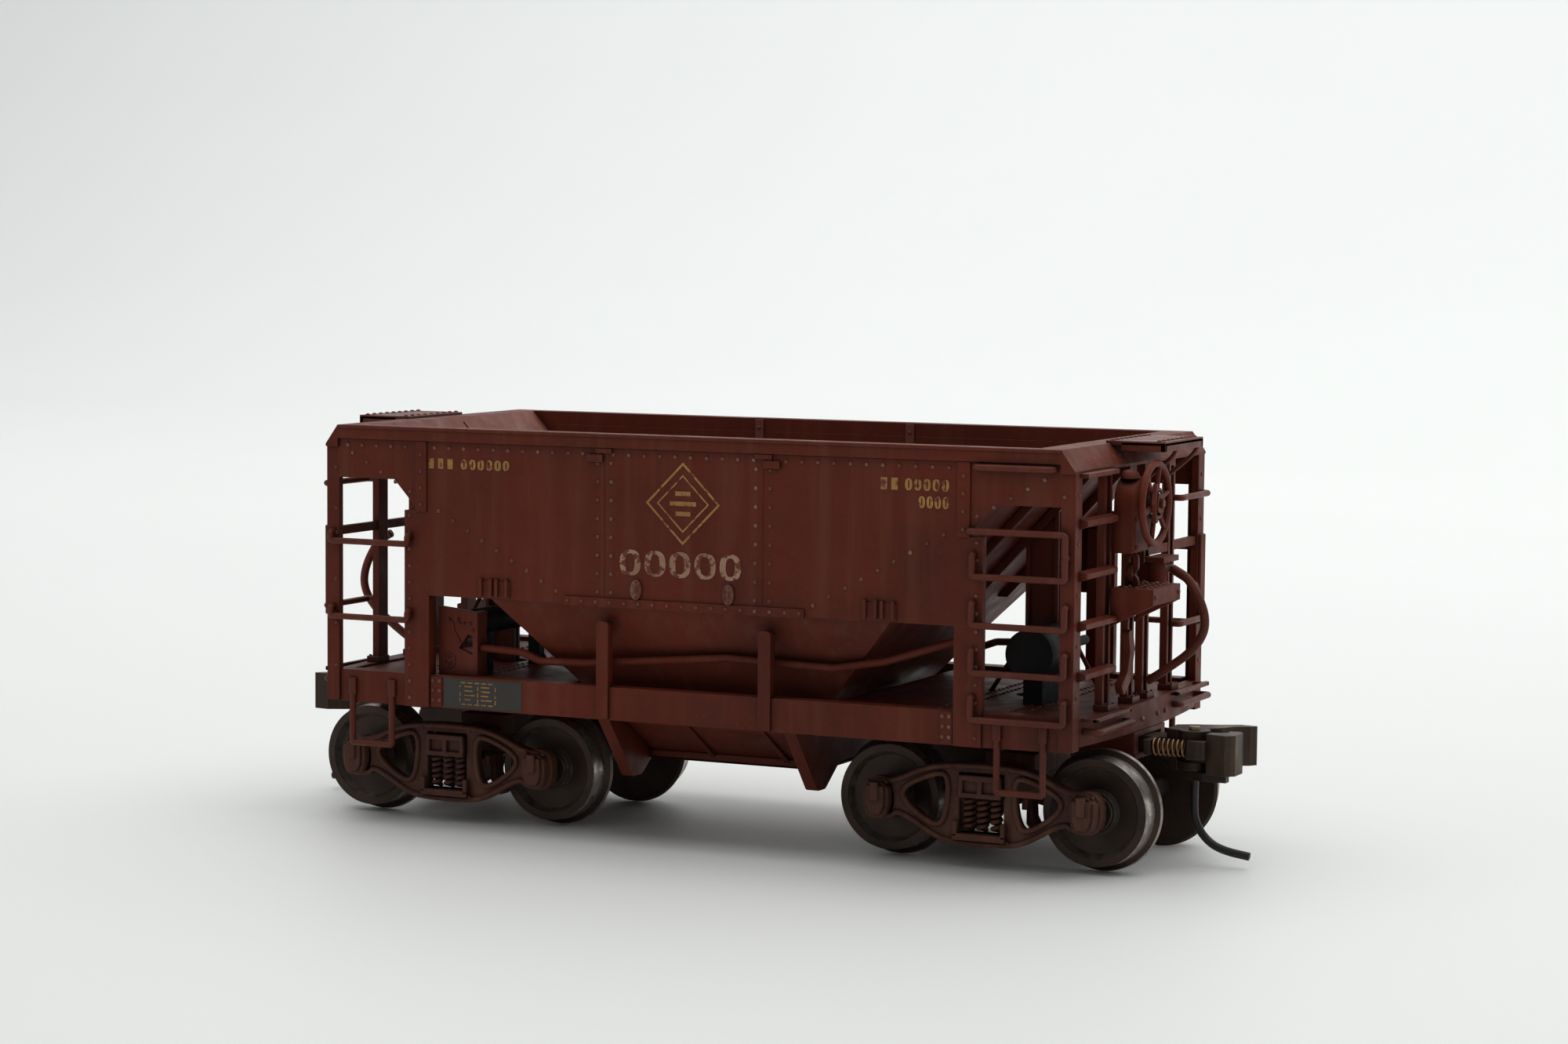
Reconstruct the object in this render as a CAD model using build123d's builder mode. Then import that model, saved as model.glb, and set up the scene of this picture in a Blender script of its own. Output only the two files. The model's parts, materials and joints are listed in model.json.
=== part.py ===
from build123d import *
import os
from math import cos, radians, sin

os.makedirs("parts", exist_ok=True)

# A 1:87 model of a short ore hopper car. Millimetres, +X towards the end with the brake wheel, +Z up.
# The origin is under the middle of the car, at the level of the wheel flanges' lowest points.

# ---- Driving dimensions ------------------------------------------------------------------------
END_X = 37.2            # outer face of the corner posts
SIDE_Y = 16.9           # outer face of the side posts and side plates
SILL_Y = 16.65          # outer face of the side sills
SILL_Z = (11.5, 14.5)   # bottom and top of the side sills
SILL_BOW = 1.0          # how far the middle of an end sill stands out past its ends
DECK_TOP = 14.3         # level of the end sills, where the end posts stand
PLATE_BOTTOM = 21.9     # lower edge of the hopper's side plates
PLATE_TOP = 36.15       # where the side plates meet the rim
RIM_TOP = 37.4
RIM_Y = 17.15           # outer face of the rim
RIM_X = 35.9            # outer edge of the rim's flat top
EAVE_BOTTOM = 35.35     # underside of the sloping eave over each end
POST_INNER_X = 35.9     # inner edge of the corner posts' side legs
PLATE_THICK = 0.6
WALL = 0.8              # hopper walls and slope sheets

SLOPE_RISE = 1.07       # rise of an end slope sheet for each mm of run
SLOPE_TOP_X = 33.4      # inside face of the slope sheet at the rim's top
FUNNEL_BOTTOM = 12.9
FUNNEL_BOTTOM_Y = 11.5  # half width of the funnel at its bottom
FLOOR_TOP = 13.9        # inside bottom of the hopper

TRUCK_X = 27.03         # truck centres
HALF_WHEELBASE = 9.7
AXLE_Z = 5.45
FLANGE_R = 5.45
TREAD_R = 4.8
WHEEL_Y = (7.25, 10.0)  # back and outer face of a wheel
KINGPIN_R = 0.95
RUNNING = 0.07          # radial clearance of every turning fit

COUPLER_PIVOT_X = 34.8
KNUCKLE_X, KNUCKLE_Y = 42.8, -1.2
BRAKE_WHEEL_CENTRE = (40.2, -5.2, 32.3)
ROD_R = 0.29            # grab irons and steps


def save(part, name):
    """Label a finished piece and write its STEP file."""
    part.label = name
    export_step(part, f"parts/{name}.step")


def block(x_span, y_span, z_span, mode=Mode.ADD):
    """Add or cut an axis-aligned box, given its (low, high) pair on each axis."""
    spans = (x_span, y_span, z_span)
    with Locations(Vector(*[(low + high) / 2 for low, high in spans])):
        Box(*[abs(high - low) for low, high in spans], mode=mode)


def prism_y(outline, y_span, mode=Mode.ADD):
    """Extrude an outline of (x, z) points along Y, between y_span's two values."""
    low, high = y_span
    with BuildSketch(Plane.XZ.offset(-high)) as sketch:
        with BuildLine():
            Polyline(*outline, close=True)
        make_face()
    extrude(sketch.sketch, amount=high - low, mode=mode)


def rod(points, radius, bend):
    """Add a round bar that follows straight runs joined by arcs of one bend radius."""
    with BuildLine() as path:
        FilletPolyline(*points, radius=bend)
    with BuildSketch(Plane(path.line @ 0, z_dir=path.line % 0)) as section:
        Circle(radius)
    sweep(section.sketch, path.line)


def turned(part):
    """The same piece turned half a turn about the car's middle, for the opposite corner."""
    return part.rotate(Axis.Z, 180)


def slope_x(z):
    """Inside face of the end slope sheet at height z."""
    return SLOPE_TOP_X - (RIM_TOP - z) / SLOPE_RISE


def sill_face(y):
    """Outer face of an end sill, which bows outwards, at distance y from the middle."""
    return END_X + SILL_BOW * (1 - (y / 15.2) ** 2)


slope_skin = WALL * (1 + SLOPE_RISE**2) ** 0.5 / SLOPE_RISE   # slope sheet's thickness along X

# ---- Hopper --------------------------------------------------------------------------------------
trough_y = SIDE_Y - PLATE_THICK
cavity_y = trough_y - WALL
knee_in, knee_out = slope_x(PLATE_BOTTOM), slope_x(PLATE_BOTTOM) + slope_skin
top_in, top_out = slope_x(PLATE_TOP), slope_x(PLATE_TOP) + slope_skin

with BuildPart() as hopper_shell:
    prism_y(
        [(-top_out, PLATE_TOP), (-knee_out, PLATE_BOTTOM), (knee_out, PLATE_BOTTOM), (top_out, PLATE_TOP)],
        (-trough_y, trough_y),
    )
    with BuildSketch(Plane.XY.offset(PLATE_BOTTOM)) as funnel_mouth:
        Rectangle(2 * knee_out, 2 * trough_y)
    with BuildSketch(Plane.XY.offset(FUNNEL_BOTTOM)) as funnel_foot:
        Rectangle(2 * (slope_x(FUNNEL_BOTTOM) + slope_skin), 2 * FUNNEL_BOTTOM_Y)
    loft(sections=[funnel_mouth.sketch, funnel_foot.sketch], ruled=True)
    gusset = [(27.4, PLATE_BOTTOM), (27.4, 29.8), (29.9, 32.5), (POST_INNER_X, 32.5), (POST_INNER_X, PLATE_TOP)]
    plate = gusset + [(-x, z) for x, z in reversed(gusset)]
    prism_y(plate, (-SIDE_Y, -trough_y))
    prism_y(plate, (trough_y, SIDE_Y))
    prism_y(
        [(-top_in, PLATE_TOP), (-knee_in, PLATE_BOTTOM), (knee_in, PLATE_BOTTOM), (top_in, PLATE_TOP)],
        (-cavity_y, cavity_y),
        mode=Mode.SUBTRACT,
    )
    funnel_lean = (trough_y - FUNNEL_BOTTOM_Y) / (PLATE_BOTTOM - FUNNEL_BOTTOM)
    floor_y = cavity_y - (PLATE_BOTTOM - FLOOR_TOP) * funnel_lean
    with BuildSketch(Plane.XY.offset(PLATE_BOTTOM)) as cavity_mouth:
        Rectangle(2 * knee_in, 2 * cavity_y)
    with BuildSketch(Plane.XY.offset(FLOOR_TOP)) as cavity_floor:
        Rectangle(2 * slope_x(FLOOR_TOP), 2 * floor_y)
    loft(sections=[cavity_mouth.sketch, cavity_floor.sketch], ruled=True, mode=Mode.SUBTRACT)
    # Lengthwise stiffening ribs under both slope sheets.
    for rib_y in (-9.0, 0.0, 9.0):
        for end in (1, -1):
            rib = [
                (end * knee_out, PLATE_BOTTOM),
                (end * (knee_out + 1.0), PLATE_BOTTOM),
                (end * (top_out + 0.2), PLATE_TOP - 1.0),
                (end * (top_out - 0.8), PLATE_TOP - 1.0),
            ]
            prism_y(rib, (rib_y - 0.5, rib_y + 0.5))
save(hopper_shell.part, "hopper_shell")

with BuildPart() as top_rim:
    eave = [(RIM_X, PLATE_TOP), (RIM_X, EAVE_BOTTOM), (END_X, EAVE_BOTTOM), (END_X, 35.6), (RIM_X, RIM_TOP)]
    prism_y(eave + [(-x, z) for x, z in reversed(eave)], (-RIM_Y, RIM_Y))
    rim_cavity_y = cavity_y
    prism_y(
        [(-slope_x(RIM_TOP + 1), RIM_TOP + 1), (-top_in, PLATE_TOP), (-top_in, PLATE_TOP - 1),
         (top_in, PLATE_TOP - 1), (top_in, PLATE_TOP), (slope_x(RIM_TOP + 1), RIM_TOP + 1)],
        (-rim_cavity_y, rim_cavity_y),
        mode=Mode.SUBTRACT,
    )
save(top_rim.part, "top_rim")

# ---- Underframe ----------------------------------------------------------------------------------
sill_low, sill_high = SILL_Z
with BuildPart() as side_sills:
    block((-POST_INNER_X, POST_INNER_X), (-SILL_Y, -SILL_Y + 0.7), SILL_Z)
    block((-POST_INNER_X, POST_INNER_X), (-SILL_Y, -15.0), (sill_low, sill_low + 0.5))
    block((-POST_INNER_X, POST_INNER_X), (-SILL_Y, -15.0), (sill_high - 0.5, sill_high))
    mirror(about=Plane.XZ)
save(side_sills.part, "side_sills")

with BuildPart() as end_sills:
    with BuildSketch(Plane.XY.offset(11.9)):
        with BuildLine():
            ThreePointArc((END_X, -15.2), (END_X + SILL_BOW, 0), (END_X, 15.2))
            Polyline((END_X, 15.2), (36.3, 15.2), (36.3, -15.2), (END_X, -15.2))
        make_face()
    extrude(amount=DECK_TOP - 11.9)
    mirror(about=Plane.YZ)
save(end_sills.part, "end_sills")

with BuildPart() as end_decks:
    block((13.6, 36.25), (-14.9, 14.9), (13.5, 14.1))
    with Locations((TRUCK_X, 0, 13.8)):
        Cylinder(KINGPIN_R + 0.6, 2, mode=Mode.SUBTRACT)
    mirror(about=Plane.YZ)
save(end_decks.part, "end_decks")

with BuildPart() as centre_sills:
    block((12.7, 36.2), (-4.0, 4.0), (11.9, 13.45))
    block((25.4, 28.6), (-14.8, 14.8), (11.9, 13.45))
    block((25.4, 28.6), (-14.8, -9.5), (11.2, 11.9))
    block((25.4, 28.6), (9.5, 14.8), (11.2, 11.9))
    with Locations((TRUCK_X, 0, 10.75)):
        Cylinder(2.6, 2.4)
    with Locations((TRUCK_X, 0, 11)):
        Cylinder(KINGPIN_R, 8, mode=Mode.SUBTRACT)
    mirror(about=Plane.YZ)
save(centre_sills.part, "centre_sills")

with BuildPart() as steel_weight:
    block((-12.5, 12.5), (-13.9, 13.9), (11.5, 12.85))
save(steel_weight.part, "steel_weight")

CHUTE_X = 8.75
with BuildPart() as hopper_doors:
    with BuildSketch(Plane.YZ.offset(-CHUTE_X)):
        with BuildLine():
            Polyline((-12.4, 11.45), (-5.0, 7.0), (5.0, 7.0), (12.4, 11.45), close=True)
        make_face()
    extrude(amount=2 * CHUTE_X)
    # Stiffening ribs across the two door leaves.
    for rib_x in (-6.0, -2.0, 2.0, 6.0):
        with BuildSketch(Plane.YZ.offset(rib_x - 0.3)):
            with BuildLine():
                Polyline((-13.0, 11.45), (-5.2, 6.6), (5.2, 6.6), (13.0, 11.45), close=True)
            make_face()
        extrude(amount=0.6)
save(hopper_doors.part, "hopper_doors")

with BuildPart() as door_hangers:
    with BuildSketch(Plane.YZ.offset(8.8)) as hanger:
        with BuildLine():
            Polyline(
                (-14.4, 11.45), (-9.3, 5.3), (-7.6, 5.3), (-4.5, 7.4), (4.5, 7.4),
                (7.6, 5.3), (9.3, 5.3), (14.4, 11.45), close=True,
            )
        make_face()
        fillet(hanger.vertices().filter_by(lambda v: v.Y < 6 and abs(v.X) > 5), 0.7)
    extrude(amount=1.15)
    mirror(about=Plane.YZ)
save(door_hangers.part, "door_hangers")

# ---- Posts ---------------------------------------------------------------------------------------
POST_FOOT = 11.6
with BuildPart() as corner_posts:
    block((POST_INNER_X, END_X), (-SIDE_Y, -SIDE_Y + 0.7), (POST_FOOT, EAVE_BOTTOM))
    block((END_X - 0.7, END_X), (-SIDE_Y, -15.3), (POST_FOOT, EAVE_BOTTOM))
    mirror(about=Plane.XZ)
    mirror(about=Plane.YZ)
save(corner_posts.part, "corner_posts")

with BuildPart() as bulkhead_posts:
    block((26.2, 27.4), (-SIDE_Y, -SILL_Y), (sill_low, sill_high))
    block((26.2, 27.4), (-SIDE_Y, -15.6), (sill_high, PLATE_BOTTOM))
    block((26.2, 27.4), (-trough_y, -15.6), (PLATE_BOTTOM, 28.0))
    block((27.4, 28.8), (-SIDE_Y, -SILL_Y), (sill_low, sill_high))
    block((27.4, 28.8), (-SIDE_Y, -16.1), (sill_high, 29.7))
    mirror(about=Plane.XZ)
    mirror(about=Plane.YZ)
save(bulkhead_posts.part, "bulkhead_posts")

with BuildPart() as side_stakes:
    block((7.5, 8.7), (-SIDE_Y, -SILL_Y), (POST_FOOT, sill_high))
    block((7.5, 8.7), (-SIDE_Y, -16.0), (sill_high, 20.45))
    stake_top = side_stakes.edges().filter_by(Axis.Y).group_by(Axis.Z)[-1]
    fillet(stake_top, 0.4)
    mirror(about=Plane.XZ)
    mirror(about=Plane.YZ)
save(side_stakes.part, "side_stakes")

STANCHIONS = ((-9.3, -7.5), (-3.0, -1.4), (0.9, 2.5), (7.5, 9.1))   # Y spans of the end channels
with BuildPart() as stanchions_b:
    for low, high in STANCHIONS:
        block((36.35, END_X - 0.15), (low, high), (DECK_TOP, EAVE_BOTTOM))
        # Each channel is open to the outside between its two flanges.
        block((36.75, END_X), (low + 0.4, high - 0.4), (DECK_TOP + 0.6, EAVE_BOTTOM - 0.6), mode=Mode.SUBTRACT)
    block((36.45, 37.0), (2.5, 7.5), (27.0, 27.8))
    block((36.45, 37.0), (9.1, 15.25), (27.0, 27.8))
save(stanchions_b.part, "end_stanchions_b")

with BuildPart() as stanchions_a:
    add(turned(stanchions_b.part))
save(stanchions_a.part, "end_stanchions_a")

RUNG_LEVELS = (18.0, 22.3, 26.6, 31.1)
with BuildPart() as end_ladders:
    for level in RUNG_LEVELS:
        with BuildSketch(Plane.XZ.offset(8.3)):
            with BuildLine():
                Polyline(
                    (END_X, level - 0.45), (END_X + 0.75, level - 0.2), (END_X + 0.75, level + 0.25),
                    (END_X, level + 0.45), close=True,
                )
            make_face()
        extrude(amount=7.6)
    rungs = end_ladders.part
    add(turned(rungs))
save(end_ladders.part, "end_ladders")

# ---- End platforms -------------------------------------------------------------------------------
with BuildPart() as end_platforms:
    block((34.6, 41.0), (-5.1, 5.1), (RIM_TOP, RIM_TOP + 0.4))
    block((36.6, 41.0), (-5.1, 5.1), (36.9, RIM_TOP))
    block((37.2, 40.5), (-4.6, 4.6), (36.5, 37.1), mode=Mode.SUBTRACT)
    for stay_y in (-0.9, 4.85):
        rod([(40.3, stay_y, 36.9), (40.0, stay_y, 36.0), (37.3, stay_y, 33.6)], 0.2, 0.4)
    platform = end_platforms.part
    add(turned(platform))
save(end_platforms.part, "end_platforms")

# ---- Hand brake ----------------------------------------------------------------------------------
wheel_x, wheel_y, wheel_z = BRAKE_WHEEL_CENTRE
PEG_R = 0.36
HOUSING_FRONT = 39.2
with BuildPart() as brake_housing:
    with BuildSketch(Plane.YZ.offset(END_X + 0.05)) as housing_outline:
        with BuildLine():
            Line((-7.6, 28.0), (-3.4, 28.0))
            Line((-3.4, 28.0), (-2.9, 32.3))
            ThreePointArc((-2.9, 32.3), (wheel_y, 34.6), (-7.6, 32.3))
            Line((-7.6, 32.3), (-7.6, 28.0))
        make_face()
    extrude(amount=HOUSING_FRONT - END_X - 0.05)
    fillet(brake_housing.faces().sort_by(Axis.X)[-1].edges(), 0.35)
    with Locations(Plane((HOUSING_FRONT - 0.2, wheel_y, wheel_z), z_dir=(1, 0, 0))):
        Cylinder(1.1, 0.4, align=(Align.CENTER, Align.CENTER, Align.MIN))
        Cylinder(PEG_R, 1.75, align=(Align.CENTER, Align.CENTER, Align.MIN))
save(brake_housing.part, "brake_housing")

WHEEL_RIM_R, RIM_WIRE_R, WEB_R, SPOKES = 3.48, 0.32, 1.75, 6
with BuildPart() as brake_wheel:
    wheel_plane = Plane((wheel_x, wheel_y, wheel_z), x_dir=(0, 1, 0), z_dir=(1, 0, 0))
    with Locations(wheel_plane):
        Torus(WHEEL_RIM_R, RIM_WIRE_R)
    for spoke in range(SPOKES):
        angle = radians(360 / SPOKES * spoke + 15)
        along_y, along_z = cos(angle), sin(angle)
        spoke_plane = Plane(
            (wheel_x, wheel_y + 0.6 * along_y, wheel_z + 0.6 * along_z), z_dir=(0, along_y, along_z)
        )
        with BuildSketch(spoke_plane) as spoke_section:
            Circle(0.22)
        extrude(spoke_section.sketch, amount=WHEEL_RIM_R - 0.6)
    web_plane = wheel_plane.offset(-0.2).rotated((0, 0, 15))
    with BuildSketch(web_plane) as web:
        RegularPolygon(WEB_R + 0.2, SPOKES)
        RegularPolygon(WEB_R - 0.2, SPOKES, mode=Mode.SUBTRACT)
    extrude(web.sketch, amount=0.4)
    with BuildSketch(wheel_plane.offset(-0.5)) as hub:
        Circle(0.85)
    extrude(hub.sketch, amount=1.0)
    with BuildSketch(wheel_plane.offset(-0.6)) as wheel_bore:
        Circle(PEG_R + RUNNING)
    extrude(wheel_bore.sketch, amount=1.2, mode=Mode.SUBTRACT)
save(brake_wheel.part, "brake_wheel")

with BuildPart() as brake_step:
    block((END_X + 0.05, 41.2), (-8.2, -1.1), (24.5, 25.0))
    block((40.8, 41.2), (-8.2, -1.1), (23.6, 25.0))
    # Slots through the tread.
    for slot_y in (-6.9, -5.7, -4.5, -3.3, -2.1):
        for slot_x in (38.2, 39.4):
            block((slot_x, slot_x + 0.8), (slot_y - 0.25, slot_y + 0.25), (24.4, 25.1), mode=Mode.SUBTRACT)
    # The chain hangs through a hole of its own.
    block((37.6, 39.0), (-6.3, -4.9), (24.4, 25.1), mode=Mode.SUBTRACT)
    for bracket_y in ((-8.2, -7.7), (-1.6, -1.1)):
        prism_y([(END_X + 0.05, 21.6), (41.2, 23.6), (41.2, 24.6), (END_X + 0.05, 24.6)], bracket_y)
save(brake_step.part, "brake_step")

LINK_WIRE, LINK_HOLE, LINK_WIDTH = 0.2, 1.05, 0.42   # wire radius, hole length, hole width
with BuildPart() as brake_chain:
    for link in range(4):
        link_centre = Vector(38.3, -5.6, 27.05 - link * (LINK_HOLE - 0.08))
        face = (1, 0, 0) if link % 2 else (0, 1, 0)
        link_plane = Plane(link_centre, x_dir=(0, 0, 1), z_dir=face)
        with BuildSketch(link_plane.offset(-LINK_WIRE)) as link_ring:
            SlotOverall(LINK_HOLE + 4 * LINK_WIRE, LINK_WIDTH + 4 * LINK_WIRE)
            SlotOverall(LINK_HOLE, LINK_WIDTH, mode=Mode.SUBTRACT)
        extrude(link_ring.sketch, amount=2 * LINK_WIRE)
save(brake_chain.part, "brake_chain")

with BuildPart() as brake_lever:
    with BuildSketch(Plane.YZ.offset(END_X + 0.1)) as lever_outline:
        with BuildLine():
            Polyline((-6.3, 15.4), (-4.6, 16.6), (-3.7, 19.3), (-4.3, 21.0), (-5.4, 21.0),
                     (-4.9, 19.2), (-5.5, 17.4), (-7.0, 16.3), close=True)
        make_face()
        fillet(lever_outline.vertices(), 0.3)
    extrude(amount=0.7)
save(brake_lever.part, "brake_lever")

with BuildPart() as retainer_valve:
    with Locations((38.25, 0.75, 25.75)):
        Cylinder(0.95, 1.9)
    block((37.1, 38.3), (-0.1, 0.85), (25.0, 26.5))
    block((37.6, 39.4), (-0.4, 3.6), (26.6, 27.1))
    prism_y([(38.6, 26.3), (41.3, 24.6), (41.6, 23.6), (41.1, 23.7), (40.9, 24.3), (38.6, 25.6)], (3.0, 3.5))
    block((38.3, 38.9), (0.9, 3.5), (25.6, 26.3))
save(retainer_valve.part, "retainer_valve")

PIPE_ROUTE = [(37.3, 1.7, 15.8), (38.6, 1.7, 16.6), (41.9, 1.7, 19.0), (42.9, 1.7, 21.6), (41.2, 1.7, 25.1),
              (39.5, 1.7, 26.0)]
with BuildPart() as end_pipes:
    rod(PIPE_ROUTE, 0.4, 0.9)
    pipe_b = end_pipes.part
    add(turned(pipe_b))
save(end_pipes.part, "end_pipes")

# ---- Grab irons and steps ------------------------------------------------------------------------
BAR_Y = -SIDE_Y - 0.55
FOOT_Y = -SIDE_Y


def side_iron(x_low, x_high, z, rise_low, rise_high):
    """Add one grab iron on the near side, with each end turned up by its own rise, then in to the post."""
    points = [(x_low, FOOT_Y, z + rise_low), (x_low, BAR_Y, z + rise_low)]
    if rise_low:
        points.append((x_low, BAR_Y, z))
    if rise_high:
        points.append((x_high, BAR_Y, z))
    points += [(x_high, BAR_Y, z + rise_high), (x_high, FOOT_Y, z + rise_high)]
    rod(points, ROD_R, 0.26)


with BuildPart() as side_grab_irons:
    side_iron(28.2, 35.3, 35.7, 0, 0)
    side_iron(27.62, 36.5, 30.2, 0, -1.9)
    for level in (26.3, 22.1, 18.0, 13.95):
        side_iron(28.0, 36.5, level, 1.9, 1.9)
    for level in (26.6, 19.55):
        side_iron(-36.5, -28.2, level, 0.8, 0.8)
    near_irons = side_grab_irons.part
    add(turned(near_irons))
save(side_grab_irons.part, "side_grab_irons")

with BuildPart() as end_grab_irons:
    for low, high in ((-14.5, -6.5), (6.5, 14.5)):
        low_foot = (sill_face(low) + 0.06, low, 13.2)
        high_foot = (sill_face(high) + 0.06, high, 13.2)
        rod([low_foot, (38.8, low, 13.2), (38.8, high, 13.2), high_foot], ROD_R, 0.26)
    for level in (20.3, 31.8):
        rod([(37.05, 8.6, level), (37.9, 8.6, level), (37.9, 16.0, level), (37.2, 16.0, level)], ROD_R, 0.26)
    end_irons = end_grab_irons.part
    add(turned(end_irons))
save(end_grab_irons.part, "end_grab_irons")

with BuildPart() as sill_steps:
    STEP_OUTER, STEP_INNER, STEP_FOOT = (29.85, 34.9), (31.0, 33.75), 7.4
    block(STEP_OUTER, (-SIDE_Y - 0.2, -SILL_Y), (STEP_FOOT, 13.9))
    block(STEP_INNER, (-SIDE_Y - 1, -SILL_Y + 1), (STEP_FOOT + 1.1, 15.0), mode=Mode.SUBTRACT)
    fillet(sill_steps.edges().filter_by(Axis.Y).group_by(Axis.Z)[0], 0.8)
    mirror(about=Plane.XZ)
    mirror(about=Plane.YZ)
save(sill_steps.part, "sill_steps")

# ---- Air brake gear under the hopper -------------------------------------------------------------
AIR_PIPE_Y = -14.75
with BuildPart() as air_pipes:
    rod(
        [(-21.8, AIR_PIPE_Y, 17.1), (-17.5, AIR_PIPE_Y, 16.9), (-15.6, AIR_PIPE_Y, 16.2), (-11.0, AIR_PIPE_Y, 16.3),
         (3.5, AIR_PIPE_Y, 17.6), (9.5, AIR_PIPE_Y, 17.4), (14.0, AIR_PIPE_Y, 17.3), (19.0, AIR_PIPE_Y, 18.2),
         (26.1, AIR_PIPE_Y, 20.5)],
        0.35, 1.2,
    )
    pipe_near = air_pipes.part
    add(turned(pipe_near))
save(air_pipes.part, "air_pipes")

with BuildPart() as rigging_plate:
    prism_y([(-26.0, sill_high), (-21.9, sill_high), (-21.9, 20.4), (-26.0, 20.8)], (-15.4, -14.8))
    prism_y([(-23.9, 17.0), (-22.4, 16.4), (-22.4, 18.2), (-22.9, 18.3)], (-15.5, -14.7), mode=Mode.SUBTRACT)
    block((-22.5, -21.9), (-14.8, -13.6), (14.1, 20.4))
save(rigging_plate.part, "rigging_plate")

with BuildPart() as brake_reservoir:
    with Locations(Plane((-23.6, -13.4, 19.2), z_dir=(0, 1, 0))):
        Cylinder(1.25, 15.0, align=(Align.CENTER, Align.CENTER, Align.MIN))
    fillet(brake_reservoir.faces().filter_by(Axis.Y).edges(), 0.5)
    for foot_y in (-11.0, -1.2):
        block((-24.2, -23.0), (foot_y - 0.5, foot_y + 0.5), (14.1, 18.6))
save(brake_reservoir.part, "brake_reservoir")

with BuildPart() as brake_cylinder:
    with Locations(Plane((29.5, -7.5, 18.6), z_dir=(0, 1, 0))):
        Cylinder(2.25, 7.0, align=(Align.CENTER, Align.CENTER, Align.MIN))
        Cylinder(0.45, 14.0, align=(Align.CENTER, Align.CENTER, Align.MIN))
    block((28.6, 30.4), (-6.5, -1.5), (14.1, 17.6))
save(brake_cylinder.part, "brake_cylinder")

# ---- Trucks --------------------------------------------------------------------------------------
FRAME_Y = (10.95, 12.35)
JOURNAL_R = 0.68
JOURNAL_TIP_Y = 12.2
BOLSTER_TOP = 9.5


def make_truck_frame():
    """A moulded truck: two side frames joined by a bolster, centred on the car's origin."""
    with BuildPart() as frame:
        half = [(0, 9.4), (3.2, 9.4), (6.4, 8.35), (8.6, 7.45), (10.85, 7.3), (10.85, 3.9), (8.55, 3.9),
                (8.2, 4.9), (3.2, 2.05), (0, 2.05)]
        outline = half + [(-x, z) for x, z in reversed(half[1:-1])]
        prism_y(outline, FRAME_Y)
        for side in (1, -1):
            prism_y([(side * 3.05, 8.2), (side * 7.3, 6.85), (side * 6.9, 5.55), (side * 3.7, 3.7)],
                    (FRAME_Y[0] - 1, FRAME_Y[1] + 1), mode=Mode.SUBTRACT)
        block((-2.1, 2.1), (FRAME_Y[0] - 1, FRAME_Y[1] + 1), (3.2, 8.5), mode=Mode.SUBTRACT)
        for axle_x in (-HALF_WHEELBASE, HALF_WHEELBASE):
            block((axle_x - 1.15, axle_x + 1.15), (10.4, 13.1), (4.0, 7.2))
            block((axle_x - 0.85, axle_x + 0.85), (13.1, 13.45), (4.3, 6.9))
            with Locations(Plane((axle_x, 10.3, AXLE_Z), z_dir=(0, 1, 0))):
                Cylinder(JOURNAL_R + RUNNING, 2.1, align=(Align.CENTER, Align.CENTER, Align.MIN),
                         mode=Mode.SUBTRACT)
        # Brake shoes hang inside the frame, just clear of the treads.
        for side in (1, -1):
            prism_y([(side * 3.3, 6.4), (side * 3.8, 6.4), (side * 3.9, 4.6), (side * 4.75, 2.9),
                     (side * 4.35, 2.6), (side * 3.3, 4.0)], (8.2, 9.8))
            block((side * 3.3, side * 3.8), (9.8, FRAME_Y[0]), (5.4, 6.4))
        mirror(about=Plane.XZ)
        block((-1.85, 1.85), (-12.7, 12.7), (6.4, 8.3))
        block((-2.4, 2.4), (-5.5, 5.5), (7.6, BOLSTER_TOP))
        block((-3.3, 3.3), (-8.3, -7.9), (5.6, 6.4))
        block((-3.3, 3.3), (7.9, 8.3), (5.6, 6.4))
        block((-1.85, 1.85), (-8.3, 8.3), (5.6, 6.4))
        with Locations((0, 0, 8)):
            Cylinder(KINGPIN_R + RUNNING, 12, mode=Mode.SUBTRACT)
    return frame.part


def make_truck_springs():
    """Three coil springs in each side frame, between the spring seat and the bolster."""
    with BuildPart() as springs:
        for coil_x in (-1.3, 0, 1.3):
            for coil_y in (-FRAME_Y[0] - 0.75, FRAME_Y[0] + 0.75):
                with Locations((coil_x, coil_y, 3.2)):
                    Cylinder(0.6, 3.2, align=(Align.CENTER, Align.CENTER, Align.MIN))
    return springs.part


def make_wheel_pair():
    """Two flanged wheels on one axle line along Y, centred on the origin at axle height."""
    back, face = WHEEL_Y
    profile = [(0.9, back), (FLANGE_R - 0.25, back), (FLANGE_R, back + 0.25), (FLANGE_R - 0.1, back + 0.6),
               (TREAD_R + 0.08, back + 0.85), (TREAD_R - 0.05, face), (TREAD_R - 0.75, face),
               (TREAD_R - 1.1, face - 0.75), (2.0, face - 0.95), (1.55, face - 0.1), (0.9, face - 0.1)]
    with BuildPart() as wheels:
        with BuildSketch(Plane.XY):
            with BuildLine():
                Polyline(*profile, close=True)
            make_face()
        revolve(axis=Axis.Y)
        mirror(about=Plane.XZ)
    return wheels.part


def make_axle():
    """A turned axle with journals at both ends, centred on the origin."""
    with BuildPart() as axle:
        with BuildSketch(Plane.XY):
            with BuildLine():
                Polyline((0, -JOURNAL_TIP_Y), (JOURNAL_R - 0.25, -JOURNAL_TIP_Y), (JOURNAL_R, -JOURNAL_TIP_Y + 0.25),
                         (JOURNAL_R, -10.1), (0.9, -10.0), (0.9, 10.0), (JOURNAL_R, 10.1),
                         (JOURNAL_R, JOURNAL_TIP_Y - 0.25), (JOURNAL_R - 0.25, JOURNAL_TIP_Y), (0, JOURNAL_TIP_Y),
                         close=True)
            make_face()
        revolve(axis=Axis.Y)
    return axle.part


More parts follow.
